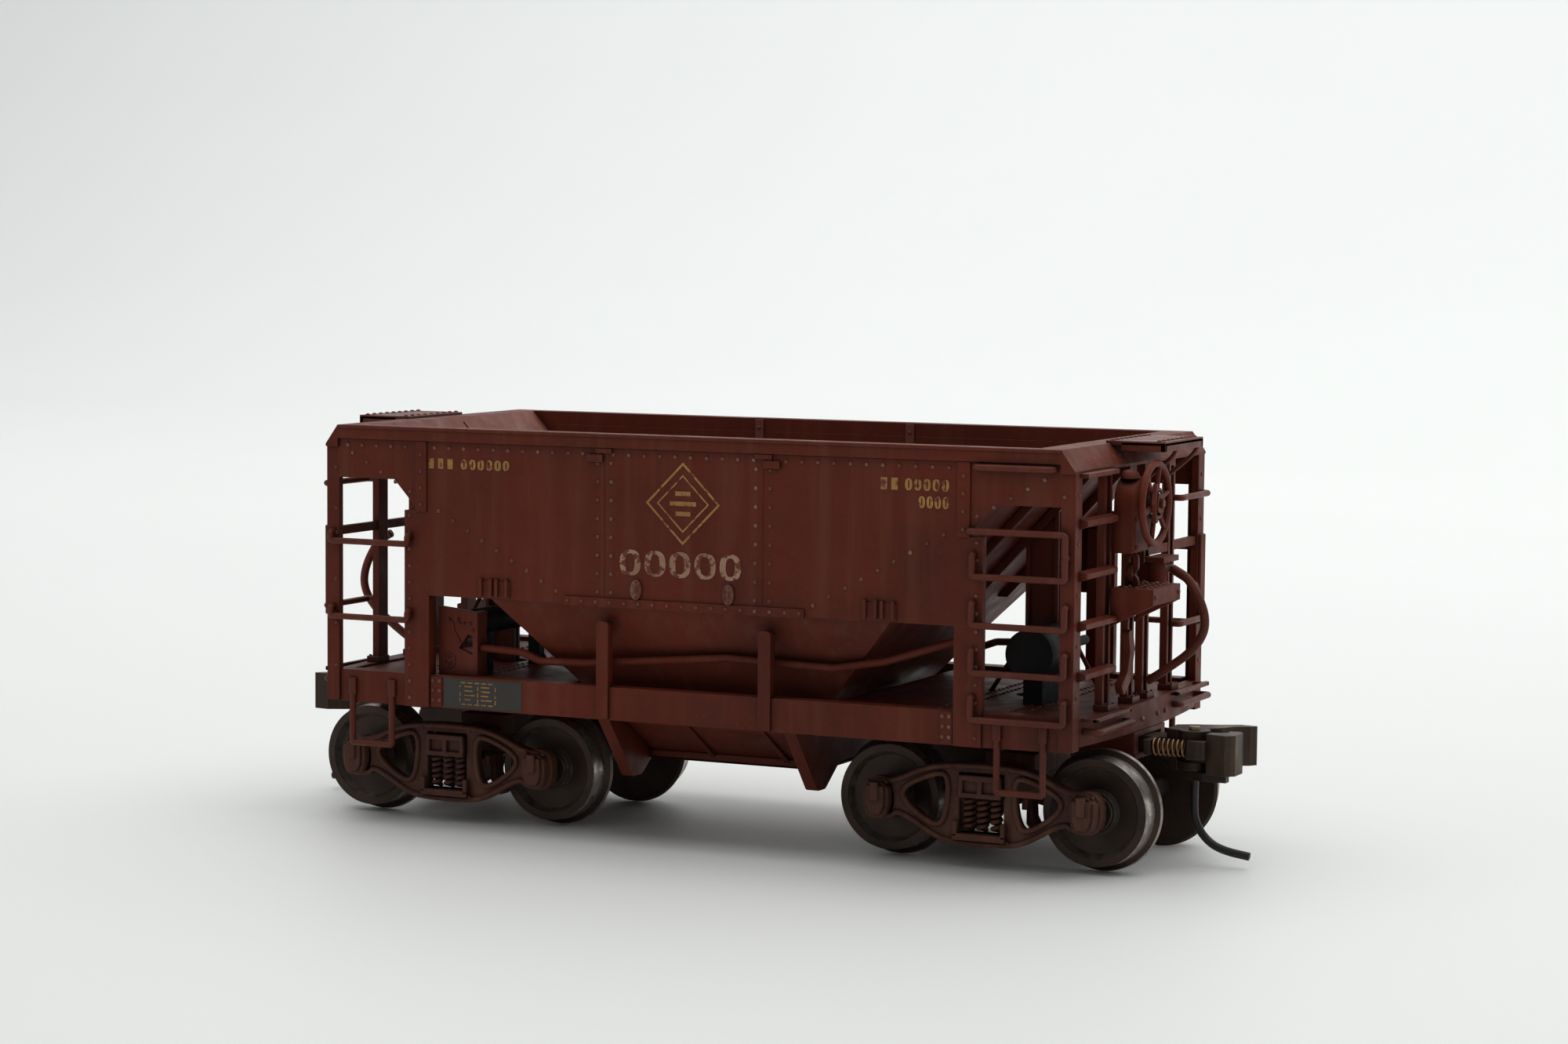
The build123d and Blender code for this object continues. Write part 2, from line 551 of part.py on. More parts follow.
truck_frame = make_truck_frame()
truck_springs = make_truck_springs()
wheel_pair = make_wheel_pair()
axle_shaft = make_axle()
for end_name, truck_x in (("b", TRUCK_X), ("a", -TRUCK_X)):
    outward = 1 if truck_x > 0 else -1
    save(truck_frame.moved(Location((truck_x, 0, 0))), f"truck_frame_{end_name}")
    save(truck_springs.moved(Location((truck_x, 0, 0))), f"truck_springs_{end_name}")
    for place, offset in (("outer", HALF_WHEELBASE), ("inner", -HALF_WHEELBASE)):
        at_axle = Location((truck_x + outward * offset, 0, AXLE_Z))
        save(wheel_pair.moved(at_axle), f"wheels_{end_name}_{place}")
        save(axle_shaft.moved(at_axle), f"axle_{end_name}_{place}")

with BuildPart() as truck_screw:
    with Locations((TRUCK_X, 0, 5.0)):
        Cylinder(1.5, 0.5, align=(Align.CENTER, Align.CENTER, Align.MIN))
        Cylinder(KINGPIN_R, 8.4, align=(Align.CENTER, Align.CENTER, Align.MIN))
    block((TRUCK_X - 1.1, TRUCK_X + 1.1), (-0.2, 0.2), (4.9, 5.2), mode=Mode.SUBTRACT)
save(truck_screw.part, "truck_screw_b")
save(turned(truck_screw.part), "truck_screw_a")

# ---- Draft gear and couplers ---------------------------------------------------------------------
BOX_BACK, BOX_FRONT = 32.2, 38.2
SHANK_Z = (10.0, 11.3)
with BuildPart() as draft_box:
    block((BOX_BACK, BOX_FRONT), (-4.0, 4.0), (9.9, 11.85))
    block((BOX_BACK + 0.8, BOX_FRONT + 1), (-3.0, 3.0), (9.0, 11.4), mode=Mode.SUBTRACT)
    with Locations((COUPLER_PIVOT_X, 0, 9.95)):
        Cylinder(0.9, 1.5, align=(Align.CENTER, Align.CENTER, Align.MIN))
save(draft_box.part, "draft_box_b")
save(turned(draft_box.part), "draft_box_a")

with BuildPart() as draft_lid:
    block((BOX_BACK, BOX_FRONT + 0.1), (-4.0, 4.0), (9.45, 9.9))
    with Locations((COUPLER_PIVOT_X, 0, 9.05)):
        Cylinder(0.85, 0.4, align=(Align.CENTER, Align.CENTER, Align.MIN))
    block((COUPLER_PIVOT_X - 0.6, COUPLER_PIVOT_X + 0.6), (-0.12, 0.12), (9.0, 9.25), mode=Mode.SUBTRACT)
save(draft_lid.part, "draft_lid_b")
save(turned(draft_lid.part), "draft_lid_a")

EAR_R, LUG_R, RIVET_R = 1.4, 1.15, 0.35
LUG_Z = (9.4, 10.9)
with BuildPart() as coupler_head:
    with BuildSketch(Plane.XY.offset(SHANK_Z[0])):
        with BuildLine():
            Polyline((COUPLER_PIVOT_X - 0.2, -1.45), (41.2, -1.45), (41.2, 1.45), (COUPLER_PIVOT_X - 0.2, 1.45),
                     close=True)
        make_face()
        with Locations((COUPLER_PIVOT_X, 0)):
            Circle(1.6)
    extrude(amount=SHANK_Z[1] - SHANK_Z[0])
    with BuildSketch(Plane.XY.offset(8.6)) as head_outline:
        with BuildLine():
            Polyline((40.3, -1.45), (41.4, -1.9), (43.9, 0.3), (44.6, 0.9), (45.2, 2.2), (46.6, 3.0), (47.0, 3.7),
                     (45.4, 3.95), (43.4, 2.9), (41.6, 2.2), (40.3, 1.45), close=True)
        make_face()
        with Locations((KNUCKLE_X, KNUCKLE_Y)):
            Circle(EAR_R)
    extrude(amount=3.5)
    with BuildSketch(Plane.XY.offset(LUG_Z[0] - 0.05)) as lug_slot:
        with Locations((KNUCKLE_X, KNUCKLE_Y)):
            Circle(EAR_R + 0.15)
        with Locations((KNUCKLE_X + 1.4, KNUCKLE_Y - 1.0)):
            Rectangle(2.6, 3.0)
    extrude(lug_slot.sketch, amount=LUG_Z[1] - LUG_Z[0] + 0.1, mode=Mode.SUBTRACT)
    with BuildSketch(Plane.XY.offset(8.0)) as rivet_hole:
        with Locations((KNUCKLE_X, KNUCKLE_Y)):
            Circle(RIVET_R)
    extrude(rivet_hole.sketch, amount=5, mode=Mode.SUBTRACT)
    with BuildSketch(Plane.XY.offset(8.0)) as post_hole:
        with Locations((COUPLER_PIVOT_X, 0)):
            Circle(0.9 + RUNNING)
    extrude(post_hole.sketch, amount=5, mode=Mode.SUBTRACT)
    # Rear seat of the knuckle spring.
    block((39.0, 39.6), (-3.9, -1.4), (SHANK_Z[0], SHANK_Z[1]))
save(coupler_head.part, "coupler_head_b")
save(turned(coupler_head.part), "coupler_head_a")

with BuildPart() as knuckle:
    with BuildSketch(Plane.XY.offset(8.4)) as jaw:
        with BuildLine():
            Polyline((44.45, -2.9), (46.3, -3.2), (47.0, -2.5), (47.0, -0.4), (46.5, 0.2), (45.7, 0.0),
                     (45.8, -1.0), (45.2, -1.5), (44.45, -1.5), close=True)
        make_face()
    extrude(jaw.sketch, amount=3.6)
    with BuildSketch(Plane.XY.offset(LUG_Z[0])) as lug:
        with Locations((KNUCKLE_X, KNUCKLE_Y)):
            Circle(LUG_R)
        with Locations((43.7, -2.0)):
            Rectangle(1.6, 0.9)
    extrude(lug.sketch, amount=LUG_Z[1] - LUG_Z[0])
    block((42.9, 44.5), (-3.7, -2.75), (9.8, 11.4))
    with BuildSketch(Plane.XY.offset(7.75)) as foot_plate:
        with BuildLine():
            Polyline((42.1, -1.9), (44.0, -2.6), (46.2, -2.6), (46.2, -1.7), (44.6, -0.7), (42.1, -0.5), close=True)
        make_face()
    extrude(foot_plate.sketch, amount=0.75)
    with BuildSketch(Plane.XY.offset(LUG_Z[0])) as lug_bore:
        with Locations((KNUCKLE_X, KNUCKLE_Y)):
            Circle(RIVET_R + RUNNING)
    extrude(lug_bore.sketch, amount=2, mode=Mode.SUBTRACT)
save(knuckle.part, "knuckle_b")
save(turned(knuckle.part), "knuckle_a")

with BuildPart() as knuckle_rivet:
    with Locations((KNUCKLE_X, KNUCKLE_Y, 8.6)):
        Cylinder(RIVET_R, 3.5, align=(Align.CENTER, Align.CENTER, Align.MIN))
    with Locations((KNUCKLE_X, KNUCKLE_Y, 12.1)):
        Cylinder(0.5, 0.3, align=(Align.CENTER, Align.CENTER, Align.MIN))
save(knuckle_rivet.part, "knuckle_rivet_b")
save(turned(knuckle_rivet.part), "knuckle_rivet_a")

with BuildPart() as trip_pin:
    rod([(42.9, -1.2, 7.75), (42.95, -1.2, 4.6), (44.4, -1.2, 2.2), (48.0, -1.2, 1.3)], 0.37, 1.1)
save(trip_pin.part, "trip_pin_b")
save(turned(trip_pin.part), "trip_pin_a")

with BuildPart() as knuckle_spring:
    with Locations(Plane((39.65, -3.15, 10.65), z_dir=(1, 0, 0))):
        Cylinder(0.62, 3.2, align=(Align.CENTER, Align.CENTER, Align.MIN))
save(knuckle_spring.part, "knuckle_spring_b")
save(turned(knuckle_spring.part), "knuckle_spring_a")
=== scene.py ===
"""Looks of a weathered 1:87 model ore hopper car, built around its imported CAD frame."""
import json
import math

import bpy
from mathutils import Matrix, Vector


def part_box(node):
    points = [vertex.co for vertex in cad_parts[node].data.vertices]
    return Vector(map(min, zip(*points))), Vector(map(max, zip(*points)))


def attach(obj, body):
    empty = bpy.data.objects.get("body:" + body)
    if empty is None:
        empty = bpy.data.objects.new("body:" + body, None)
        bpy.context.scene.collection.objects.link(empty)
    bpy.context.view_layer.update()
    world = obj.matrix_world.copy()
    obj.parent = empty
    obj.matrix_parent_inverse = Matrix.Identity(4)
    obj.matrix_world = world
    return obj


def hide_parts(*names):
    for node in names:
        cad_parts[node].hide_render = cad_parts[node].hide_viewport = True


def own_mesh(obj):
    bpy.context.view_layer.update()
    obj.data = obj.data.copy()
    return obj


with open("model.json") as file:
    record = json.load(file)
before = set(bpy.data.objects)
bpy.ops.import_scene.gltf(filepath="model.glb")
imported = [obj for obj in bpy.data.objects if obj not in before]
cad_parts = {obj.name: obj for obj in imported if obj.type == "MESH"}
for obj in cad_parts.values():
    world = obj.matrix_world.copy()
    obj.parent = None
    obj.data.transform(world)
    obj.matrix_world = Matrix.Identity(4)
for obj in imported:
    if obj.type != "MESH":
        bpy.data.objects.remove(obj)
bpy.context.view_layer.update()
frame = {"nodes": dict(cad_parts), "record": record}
nodes = frame["nodes"]
MM = 0.001


def box_mm(node):
    """Lowest and highest corner of a CAD node, in millimetres."""
    low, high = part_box(node)
    return low / MM, high / MM


# ---- Places read from the frame, in millimetres -----------------------------------------------
plate_high = box_mm("hopper_shell")[1]
rim_high = box_mm("top_rim")[1]
sill_low, sill_high = box_mm("side_sills")
post_high = box_mm("corner_posts")[1]
deck_high = box_mm("end_decks")[1]
end_sill_high = box_mm("end_sills")[1]
platform_low, platform_high = box_mm("end_platforms")
step_low, step_high = box_mm("brake_step")
housing_high = box_mm("brake_housing")[1]
wheel_low, wheel_high = box_mm("brake_wheel")
plate_y = plate_high.y                  # outer face of the side plates
plate_top = plate_high.z
sill_y = sill_high.y
end_x = post_high.x
PLATE_BOTTOM = 21.9                     # lower edge of the side plates
CAVITY_Y = plate_y - 1.4                # inside face of the hopper's side walls
SLOPE_RISE = 1.07                       # rise of a slope sheet for each mm of run
SLOPE_TOP_X = 33.4                      # its inside face at the rim's top
RIM_FLAT = 35.9                         # half length of the rim's flat top
HOUSING_FACE = 39.2                     # front of the hand brake's housing
FUNNEL_LEAN = 0.533                     # how far the funnel's walls lean in for each mm down
FRAME_Y = (10.95, 12.35)                # inner and outer face of a truck's side frame
FRAME_MIDDLE_Z = 5.7                    # middle height of a side frame
KINGPIN_CLEAR = 1.3                     # half width of the gap round the kingpin
HALF_WHEELBASE = 9.7
RIVET_R, RIVET_RISE = 0.20, 0.13        # radius and height of a side rivet
INK = 0.03                              # thickness of printed marks


# ---- Materials --------------------------------------------------------------------------------
class Graph:
    """Short calls for building one material's nodes."""

    def __init__(self, name):
        self.material = bpy.data.materials.new(name)
        self.material.use_nodes = True
        self.nodes = self.material.node_tree.nodes
        self.links = self.material.node_tree.links
        self.shader = self.nodes["Principled BSDF"]
        self.place = self.nodes.new("ShaderNodeTexCoord").outputs["Object"]

    def link(self, source, target):
        self.links.new(source, target)

    def noise(self, scale, detail=4.0, stretch=(1, 1, 1), roughness=0.55):
        mapping = self.nodes.new("ShaderNodeMapping")
        mapping.inputs["Scale"].default_value = stretch
        self.link(self.place, mapping.inputs["Vector"])
        texture = self.nodes.new("ShaderNodeTexNoise")
        texture.inputs["Scale"].default_value = scale
        texture.inputs["Detail"].default_value = detail
        texture.inputs["Roughness"].default_value = roughness
        self.link(mapping.outputs["Vector"], texture.inputs["Vector"])
        return texture.outputs["Fac"]

    def span(self, value, low, high, to_low=0.0, to_high=1.0):
        """Map a value from low..high to to_low..to_high, clamped."""
        node = self.nodes.new("ShaderNodeMapRange")
        limits = {"From Min": low, "From Max": high, "To Min": to_low, "To Max": to_high}
        for name, number in limits.items():
            node.inputs[name].default_value = number
        self.link(value, node.inputs["Value"])
        return node.outputs["Result"]

    def math(self, operation, first, second):
        node = self.nodes.new("ShaderNodeMath")
        node.operation = operation
        node.use_clamp = True
        for value, socket in ((first, node.inputs[0]), (second, node.inputs[1])):
            if isinstance(value, (int, float)):
                socket.default_value = value
            else:
                self.link(value, socket)
        return node.outputs[0]

    def mix(self, amount, first, second):
        """Blend two colours; each is a tuple or a socket."""
        node = self.nodes.new("ShaderNodeMix")
        node.data_type = "RGBA"
        for value, socket in ((first, node.inputs[6]), (second, node.inputs[7])):
            if isinstance(value, tuple):
                socket.default_value = (*value, 1.0)
            else:
                self.link(value, socket)
        self.link(amount, node.inputs[0])
        return node.outputs[2]

    def axis(self, name):
        split = self.nodes.new("ShaderNodeSeparateXYZ")
        self.link(self.place, split.inputs[0])
        return split.outputs[name]

    def edges(self, radius):
        """1 on corners and edges, 0 on flats, with the rounded normal that finds them."""
        bevel = self.nodes.new("ShaderNodeBevel")
        bevel.samples = 4
        bevel.inputs["Radius"].default_value = radius
        geometry = self.nodes.new("ShaderNodeNewGeometry")
        dot = self.nodes.new("ShaderNodeVectorMath")
        dot.operation = "DOT_PRODUCT"
        self.link(bevel.outputs["Normal"], dot.inputs[0])
        self.link(geometry.outputs["Normal"], dot.inputs[1])
        return self.span(dot.outputs["Value"], 0.98, 0.80), bevel.outputs["Normal"]

    def crevices(self, distance):
        # Ambient occlusion, which the paints use to paint shade into crevices.
        node = self.nodes.new("ShaderNodeAmbientOcclusion")
        node.samples = 4
        node.inputs["Distance"].default_value = distance
        return node.outputs["AO"]

    def bump(self, height, strength, distance, normal):
        node = self.nodes.new("ShaderNodeBump")
        node.inputs["Strength"].default_value = strength
        node.inputs["Distance"].default_value = distance
        self.link(height, node.inputs["Height"])
        self.link(normal, node.inputs["Normal"])
        self.link(node.outputs["Normal"], self.shader.inputs["Normal"])


def painted(name, base, shade, dust, edge, dust_amount=0.35, edge_amount=0.5, gloss=(0.45, 0.68),
            metal=0.0, crevice=0.0012):
    """Weathered paint: patches, downward streaks, dust, worn edges and painted shade that darkens the
    crevices.
    """
    g = Graph(name)
    patches = g.span(g.noise(90, 5), 0.35, 0.68)
    color = g.mix(patches, shade, base)
    soot = g.span(g.noise(38, 6, (1, 1, 0.7), 0.65), 0.50, 0.68, 0.0, 0.6)
    color = g.mix(soot, color, tuple(0.5 * c + 0.004 for c in shade))
    streaks = g.span(g.noise(700, 3, (1, 1, 0.06)), 0.50, 0.72, 0.0, dust_amount)
    specks = g.span(g.noise(1900, 6), 0.56, 0.72, 0.0, dust_amount * 0.6)
    color = g.mix(g.math("MAXIMUM", streaks, specks), color, dust)
    worn, rounded = g.edges(0.00011)
    chips = g.span(g.noise(1100, 5), 0.42, 0.62, 0.25, 1.0)
    color = g.mix(g.math("MULTIPLY", g.math("MULTIPLY", worn, chips), edge_amount), color, edge)
    # Painted shade: an occlusion node darkens the paint in crevices, corners and between parts, where shade
    # falls.
    open_air = g.span(g.crevices(crevice), 0.35, 0.95)
    crevice_shade = tuple(0.35 * c for c in shade)
    color = g.mix(open_air, crevice_shade, color)
    g.link(color, g.shader.inputs["Base Color"])
    g.link(g.span(g.noise(420, 4), 0.3, 0.7, *gloss), g.shader.inputs["Roughness"])
    g.shader.inputs["Metallic"].default_value = metal
    g.shader.inputs["Specular IOR Level"].default_value = 0.2
    g.bump(g.noise(3600, 5), 0.22, 0.00004, rounded)
    return g.material


def turned_metal(name, bright, dull, worn_low, worn_high, metal=0.85):
    """Metal turned about the Y axis: rust-brown faces, a polished tread and fine tool marks."""
    g = Graph(name)
    patches = g.span(g.noise(260, 5), 0.35, 0.65)
    dark = g.mix(patches, tuple(0.6 * c for c in dull), dull)
    side = g.math("ABSOLUTE", g.axis("Y"), 0.0)
    tread = g.math("MULTIPLY", g.span(side, worn_low * MM, (worn_low + 0.15) * MM),
                   g.span(side, worn_high * MM, (worn_high - 0.2) * MM))
    outward = g.nodes.new("ShaderNodeNewGeometry")
    split = g.nodes.new("ShaderNodeSeparateXYZ")
    g.link(outward.outputs["Normal"], split.inputs[0])
    flat = g.math("ABSOLUTE", split.outputs["Y"], 0.0)
    rolling = g.math("MULTIPLY", tread, g.span(flat, 0.55, 0.25))
    scuffs = g.span(g.noise(900, 5), 0.35, 0.6, 0.35, 1.0)
    mask = g.math("MULTIPLY", rolling, scuffs)
    g.link(g.mix(mask, dark, bright), g.shader.inputs["Base Color"])
    g.link(g.span(mask, 0.0, 1.0, 0.5, 0.26), g.shader.inputs["Roughness"])
    g.shader.inputs["Metallic"].default_value = metal
    _, rounded = g.edges(0.0001)
    g.bump(g.noise(3000, 3), 0.2, 0.00003, rounded)
    return g.material


def plain_metal(name, tint, rough, metal, speckle):
    """Metal or wire with a fine grain and brown tarnish."""
    g = Graph(name)
    tarnish = g.span(g.noise(800, 5), 0.45, 0.65, 0.0, speckle)
    g.link(g.mix(tarnish, tint, (0.05, 0.022, 0.012)), g.shader.inputs["Base Color"])
    g.link(g.span(g.noise(1200, 4), 0.3, 0.7, rough, rough + 0.2), g.shader.inputs["Roughness"])
    g.shader.inputs["Metallic"].default_value = metal
    _, rounded = g.edges(0.00008)
    g.bump(g.noise(4000, 4), 0.2, 0.00003, rounded)
    return g.material


def decal(name, ink, under, wear):
    """Printed ink, chipped so that the paint under it shows."""
    g = Graph(name)
    chips = g.span(g.noise(1500, 6), 0.42 - wear, 0.48 - wear * 0.6)
    thin = tuple(0.6 * c + 0.4 * u for c, u in zip(ink, under))
    faded = g.mix(g.span(g.noise(500, 3), 0.35, 0.65), ink, thin)
    g.link(g.mix(chips, under, faded), g.shader.inputs["Base Color"])
    g.shader.inputs["Roughness"].default_value = 0.6
    return g.material


OXIDE = (0.134, 0.0205, 0.0075)
OXIDE_DARK = (0.094, 0.015, 0.006)
body_paint = painted("oxide_paint", OXIDE, OXIDE_DARK, (0.165, 0.055, 0.032), (0.26, 0.11, 0.075),
                     0.3, 0.45)
rivet_paint = painted("worn_rivets", (0.18, 0.055, 0.034), (0.13, 0.038, 0.024), (0.34, 0.21, 0.15),
                      (0.34, 0.22, 0.16), 0.75, 0.9, (0.35, 0.55), crevice=0.0003)
detail_paint = painted("oxide_detail", (0.140, 0.030, 0.016), (0.10, 0.022, 0.012), (0.19, 0.066, 0.042),
                       (0.33, 0.15, 0.11), 0.3, 0.6, (0.38, 0.6))
inside_paint = painted("hopper_interior", (0.21, 0.070, 0.050), (0.16, 0.050, 0.035), (0.30, 0.15, 0.115),
                       (0.32, 0.15, 0.11), 0.4, 0.4)
truck_paint = painted("truck_brown", (0.115, 0.040, 0.024), (0.070, 0.026, 0.017), (0.19, 0.09, 0.055),
                      (0.32, 0.15, 0.095), 0.35, 0.75, crevice=0.0006)
gear_black = painted("gear_black", (0.012, 0.009, 0.009), (0.007, 0.006, 0.006), (0.04, 0.022, 0.016),
                     (0.05, 0.03, 0.02), 0.2, 0.4)
coupler_rust = painted("coupler_rust", (0.075, 0.046, 0.030), (0.042, 0.026, 0.018), (0.13, 0.08, 0.05),
                       (0.24, 0.17, 0.12), 0.4, 0.8, (0.4, 0.62), 0.25)
wheel_metal = turned_metal("wheel_metal", (0.42, 0.38, 0.34), (0.060, 0.038, 0.028), 7.2, 10.05, 0.7)
axle_metal = plain_metal("axle_metal", (0.08, 0.06, 0.05), 0.35, 0.8, 0.6)
spring_bronze = plain_metal("spring_bronze", (0.34, 0.19, 0.10), 0.32, 0.95, 0.5)
rivet_brass = plain_metal("rivet_brass", (0.40, 0.30, 0.19), 0.3, 0.95, 0.4)
trip_black = plain_metal("trip_black", (0.012, 0.012, 0.012), 0.35, 0.3, 0.15)
screw_steel = plain_metal("screw_steel", (0.32, 0.30, 0.28), 0.3, 0.95, 0.2)
weight_steel = plain_metal("weight_steel", (0.20, 0.19, 0.18), 0.4, 0.9, 0.3)
gold_ink = decal("gold_ink", (0.40, 0.20, 0.045), OXIDE, 0.03)
pale_ink = decal("pale_ink", (0.38, 0.22, 0.13), OXIDE, -0.02)
orange_ink = decal("orange_ink", (0.42, 0.17, 0.03), (0.03, 0.032, 0.026), 0.05)
stencil_ground = decal("stencil_ground", (0.028, 0.032, 0.027), (0.04, 0.022, 0.016), 0.16)

MATERIAL_OF_SLOT = {
    "body_plastic": body_paint, "detail_plastic": detail_paint, "truck_plastic": truck_paint,
    "black_plastic": gear_black, "wheel_metal": wheel_metal, "axle_steel": axle_metal,
    "coupler_metal": coupler_rust, "rivet_brass": rivet_brass, "spring_bronze": spring_bronze,
    "trip_wire": trip_black, "screw_steel": screw_steel, "weight_steel": weight_steel,
}
for entry in frame["record"]["subparts"]:
    node = nodes[entry["node"]]
    node.data.materials.clear()
    node.data.materials.append(MATERIAL_OF_SLOT[entry["material_slot"]])


# ---- Building pieces --------------------------------------------------------------------------
class Shape:
    """A mesh put together from simple closed solids, in millimetres."""

    def __init__(self):
        self.points, self.faces, self.round = [], [], []

    def add(self, points, faces, smooth=False):
        start = len(self.points)
        self.points += [Vector(p) for p in points]
        self.faces += [tuple(start + i for i in face) for face in faces]
        self.round += [smooth] * len(faces)

    def box(self, x_span, y_span, z_span):
        corners = [(x, y, z) for x in sorted(x_span) for y in sorted(y_span) for z in sorted(z_span)]
        across_x = [(0, 1, 3, 2), (4, 6, 7, 5)]
        across_y = [(0, 4, 5, 1), (2, 3, 7, 6)]
        across_z = [(0, 2, 6, 4), (1, 5, 7, 3)]
        self.add(corners, across_x + across_y + across_z)

    def prism(self, outline, depth):
        """Close a solid between an outline of 3-D points and the same outline moved by depth."""
        count = len(outline)
        moved = [Vector(p) + Vector(depth) for p in outline]
        sides = [(i, (i + 1) % count, count + (i + 1) % count, count + i) for i in range(count)]
        caps = [tuple(range(count))[::-1], tuple(range(count, 2 * count))]
        self.add([*outline, *moved], [*caps, *sides])

    def dome(self, centre, normal, radius, height, sides=10):
        """A rivet head: a flattened dome standing on a surface."""
        normal = Vector(normal).normalized()
        across = normal.orthogonal().normalized()
        other = normal.cross(across)
        points = []
        for ring, rise in ((1.0, -0.15), (0.97, 0.25), (0.72, 0.75)):
            for i in range(sides):
                angle = 2 * math.pi * i / sides
                out = across * math.cos(angle) + other * math.sin(angle)
                points.append(Vector(centre) + out * radius * ring + normal * height * rise)
        points.append(Vector(centre) + normal * height)
        points.append(Vector(centre) - normal * height * 0.15)
        faces = []
        for ring in (0, 1):
            for i in range(sides):
                j = (i + 1) % sides
                here, above = ring * sides, (ring + 1) * sides
                faces.append((here + i, here + j, above + j, above + i))
        for i in range(sides):
            j = (i + 1) % sides
            faces.append((2 * sides + i, 2 * sides + j, 3 * sides))
            faces.append((j, i, 3 * sides + 1))
        self.add(points, faces, True)

    def tube(self, path, radius, sides=10):
        """A round bar or wire along a list of points."""
        path = [Vector(p) for p in path]
        points, faces = [], []
        frame_side = None
        for i, point in enumerate(path):
            ahead = (path[min(i + 1, len(path) - 1)] - path[max(i - 1, 0)]).normalized()
            if frame_side is None:
                frame_side = ahead.orthogonal().normalized()
            frame_side = (frame_side - ahead * frame_side.dot(ahead)).normalized()
            other = ahead.cross(frame_side)
            for k in range(sides):
                angle = 2 * math.pi * k / sides
                out = frame_side * math.cos(angle) + other * math.sin(angle)
                points.append(point + out * radius)
        for i in range(len(path) - 1):
            for k in range(sides):
                j = (k + 1) % sides
                here, ahead = i * sides, (i + 1) * sides
                faces.append((here + k, here + j, ahead + j, ahead + k))
        faces.append(tuple(range(sides))[::-1])
        faces.append(tuple((len(path) - 1) * sides + k for k in range(sides)))
        self.add(points, faces, True)

    def casting(self, loops, y_low, y_high, edge):
        """A flat casting with rounded edges: the first loop of X and Z is its outline, the rest are holes."""
        curve = bpy.data.curves.new("casting", "CURVE")
        curve.dimensions = "2D"
        curve.fill_mode = "BOTH"
        curve.extrude = (y_high - y_low) / 2 - edge
        curve.bevel_depth = edge
        curve.bevel_resolution = 2
        curve.offset = -edge
        for loop in loops:
            spline = curve.splines.new("POLY")
            spline.points.add(len(loop) - 1)
            for point, (x, z) in zip(spline.points, loop):
                point.co = (x, z, 0, 1)
            spline.use_cyclic_u = True
        holder = bpy.data.objects.new("casting", curve)
        mesh = bpy.data.meshes.new_from_object(holder)
        middle = (y_low + y_high) / 2
        points = [(v.co.x, middle + v.co.z, v.co.y) for v in mesh.vertices]
        self.add(points, [tuple(face.vertices)[::-1] for face in mesh.polygons], True)
        bpy.data.objects.remove(holder)
        bpy.data.curves.remove(curve)
        bpy.data.meshes.remove(mesh)

    def half_turned(self):
        """Add a copy of everything so far, turned half a turn about the car's middle."""
        smooth = self.round * 2
        self.add([(-p.x, -p.y, p.z) for p in self.points], self.faces)
        self.round = smooth

    def mirrored(self, axis):
        """Add a copy of everything so far, mirrored across the plane at 0 on an axis (0 is X, 1 is Y)."""
        copies = []
        for point in self.points:
            copy = point.copy()
            copy[axis] = -copy[axis]
            copies.append(copy)
        smooth = self.round * 2
        self.add(copies, [face[::-1] for face in self.faces])
        self.round = smooth

    def piece(self, name, material, body="car_body", slot="body_plastic", bevel=0.0):
        mesh = bpy.data.meshes.new(name)
        mesh.from_pydata([p * MM for p in self.points], [], self.faces)
        for polygon, smooth in zip(mesh.polygons, self.round):
            polygon.use_smooth = smooth
        mesh.materials.append(material)
        mesh.update()
        made = bpy.data.objects.new(name, mesh)
        bpy.context.scene.collection.objects.link(made)
        if bevel:
            soften = made.modifiers.new("soften", "BEVEL")
            soften.width = bevel * MM
            soften.segments = 2
            soften.limit_method = "ANGLE"
            soften.angle_limit = math.radians(40)
        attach(made, body)
        return made


def lines_rounded(points, rounds=2, closed=True):
    """Round the corners of an outline, or of an open line between its ends, by cutting them off."""
    points = [Vector(p) for p in points]
    for _ in range(rounds):
        count = len(points)
        cut = []
        for i in range(count if closed else count - 1):
            ahead = points[(i + 1) % count]
            cut += [points[i].lerp(ahead, 0.25), points[i].lerp(ahead, 0.75)]
        points = cut if closed else [points[0], *cut, points[-1]]
    return points


def steps(low, high, pitch):
    """Evenly spaced values from low to high, about pitch apart."""
    count = max(1, round((high - low) / pitch))
    return [low + (high - low) * i / count for i in range(count + 1)]


# ---- Rivets of the sides ------------------------------------------------------------------------
def side_rivets():
    """Rivet rows of one side, at -Y, copied to the other side by mirroring."""
    rivets = Shape()

    def on_plate(x, z, y=plate_y):
        rivets.dome((x, -y, z), (0, -1, 0), RIVET_R, RIVET_RISE)

    for x in steps(-34.9, 34.9, 1.55):
        on_plate(x, plate_top - 0.6)
    for side in (-1, 1):
        for x in steps(12.8, 34.4, 1.5):
            z = 22.96 + 0.548 * (x - 12.77)
            if z < plate_top - 1.2:
                on_plate(side * x, z)
        for column in (7.2, 8.6):
            for z in steps(23.1, 34.75, 1.66):
                on_plate(side * column, z)
        for z in steps(12.3, 29.2, 1.53):
            on_plate(side * 28.25, z)
        for z in steps(30.3, 34.9, 1.5):
            on_plate(side * 27.0, z, plate_y + 0.15)
        for z in steps(12.2, 14.0, 0.9):
            for x in (25.15, 25.8):
                on_plate(side * x, z, sill_y + 0.12)
        for z in (14.9, 18.9, 23.0, 27.3, 29.6, 33.4):
            on_plate(side * 36.2, z)
    for x in steps(-11.6, 11.6, 1.45):
        on_plate(x, 22.2, plate_y + 0.18)
    rivets.mirrored(1)
    rivets.piece("side_rivets", rivet_paint)


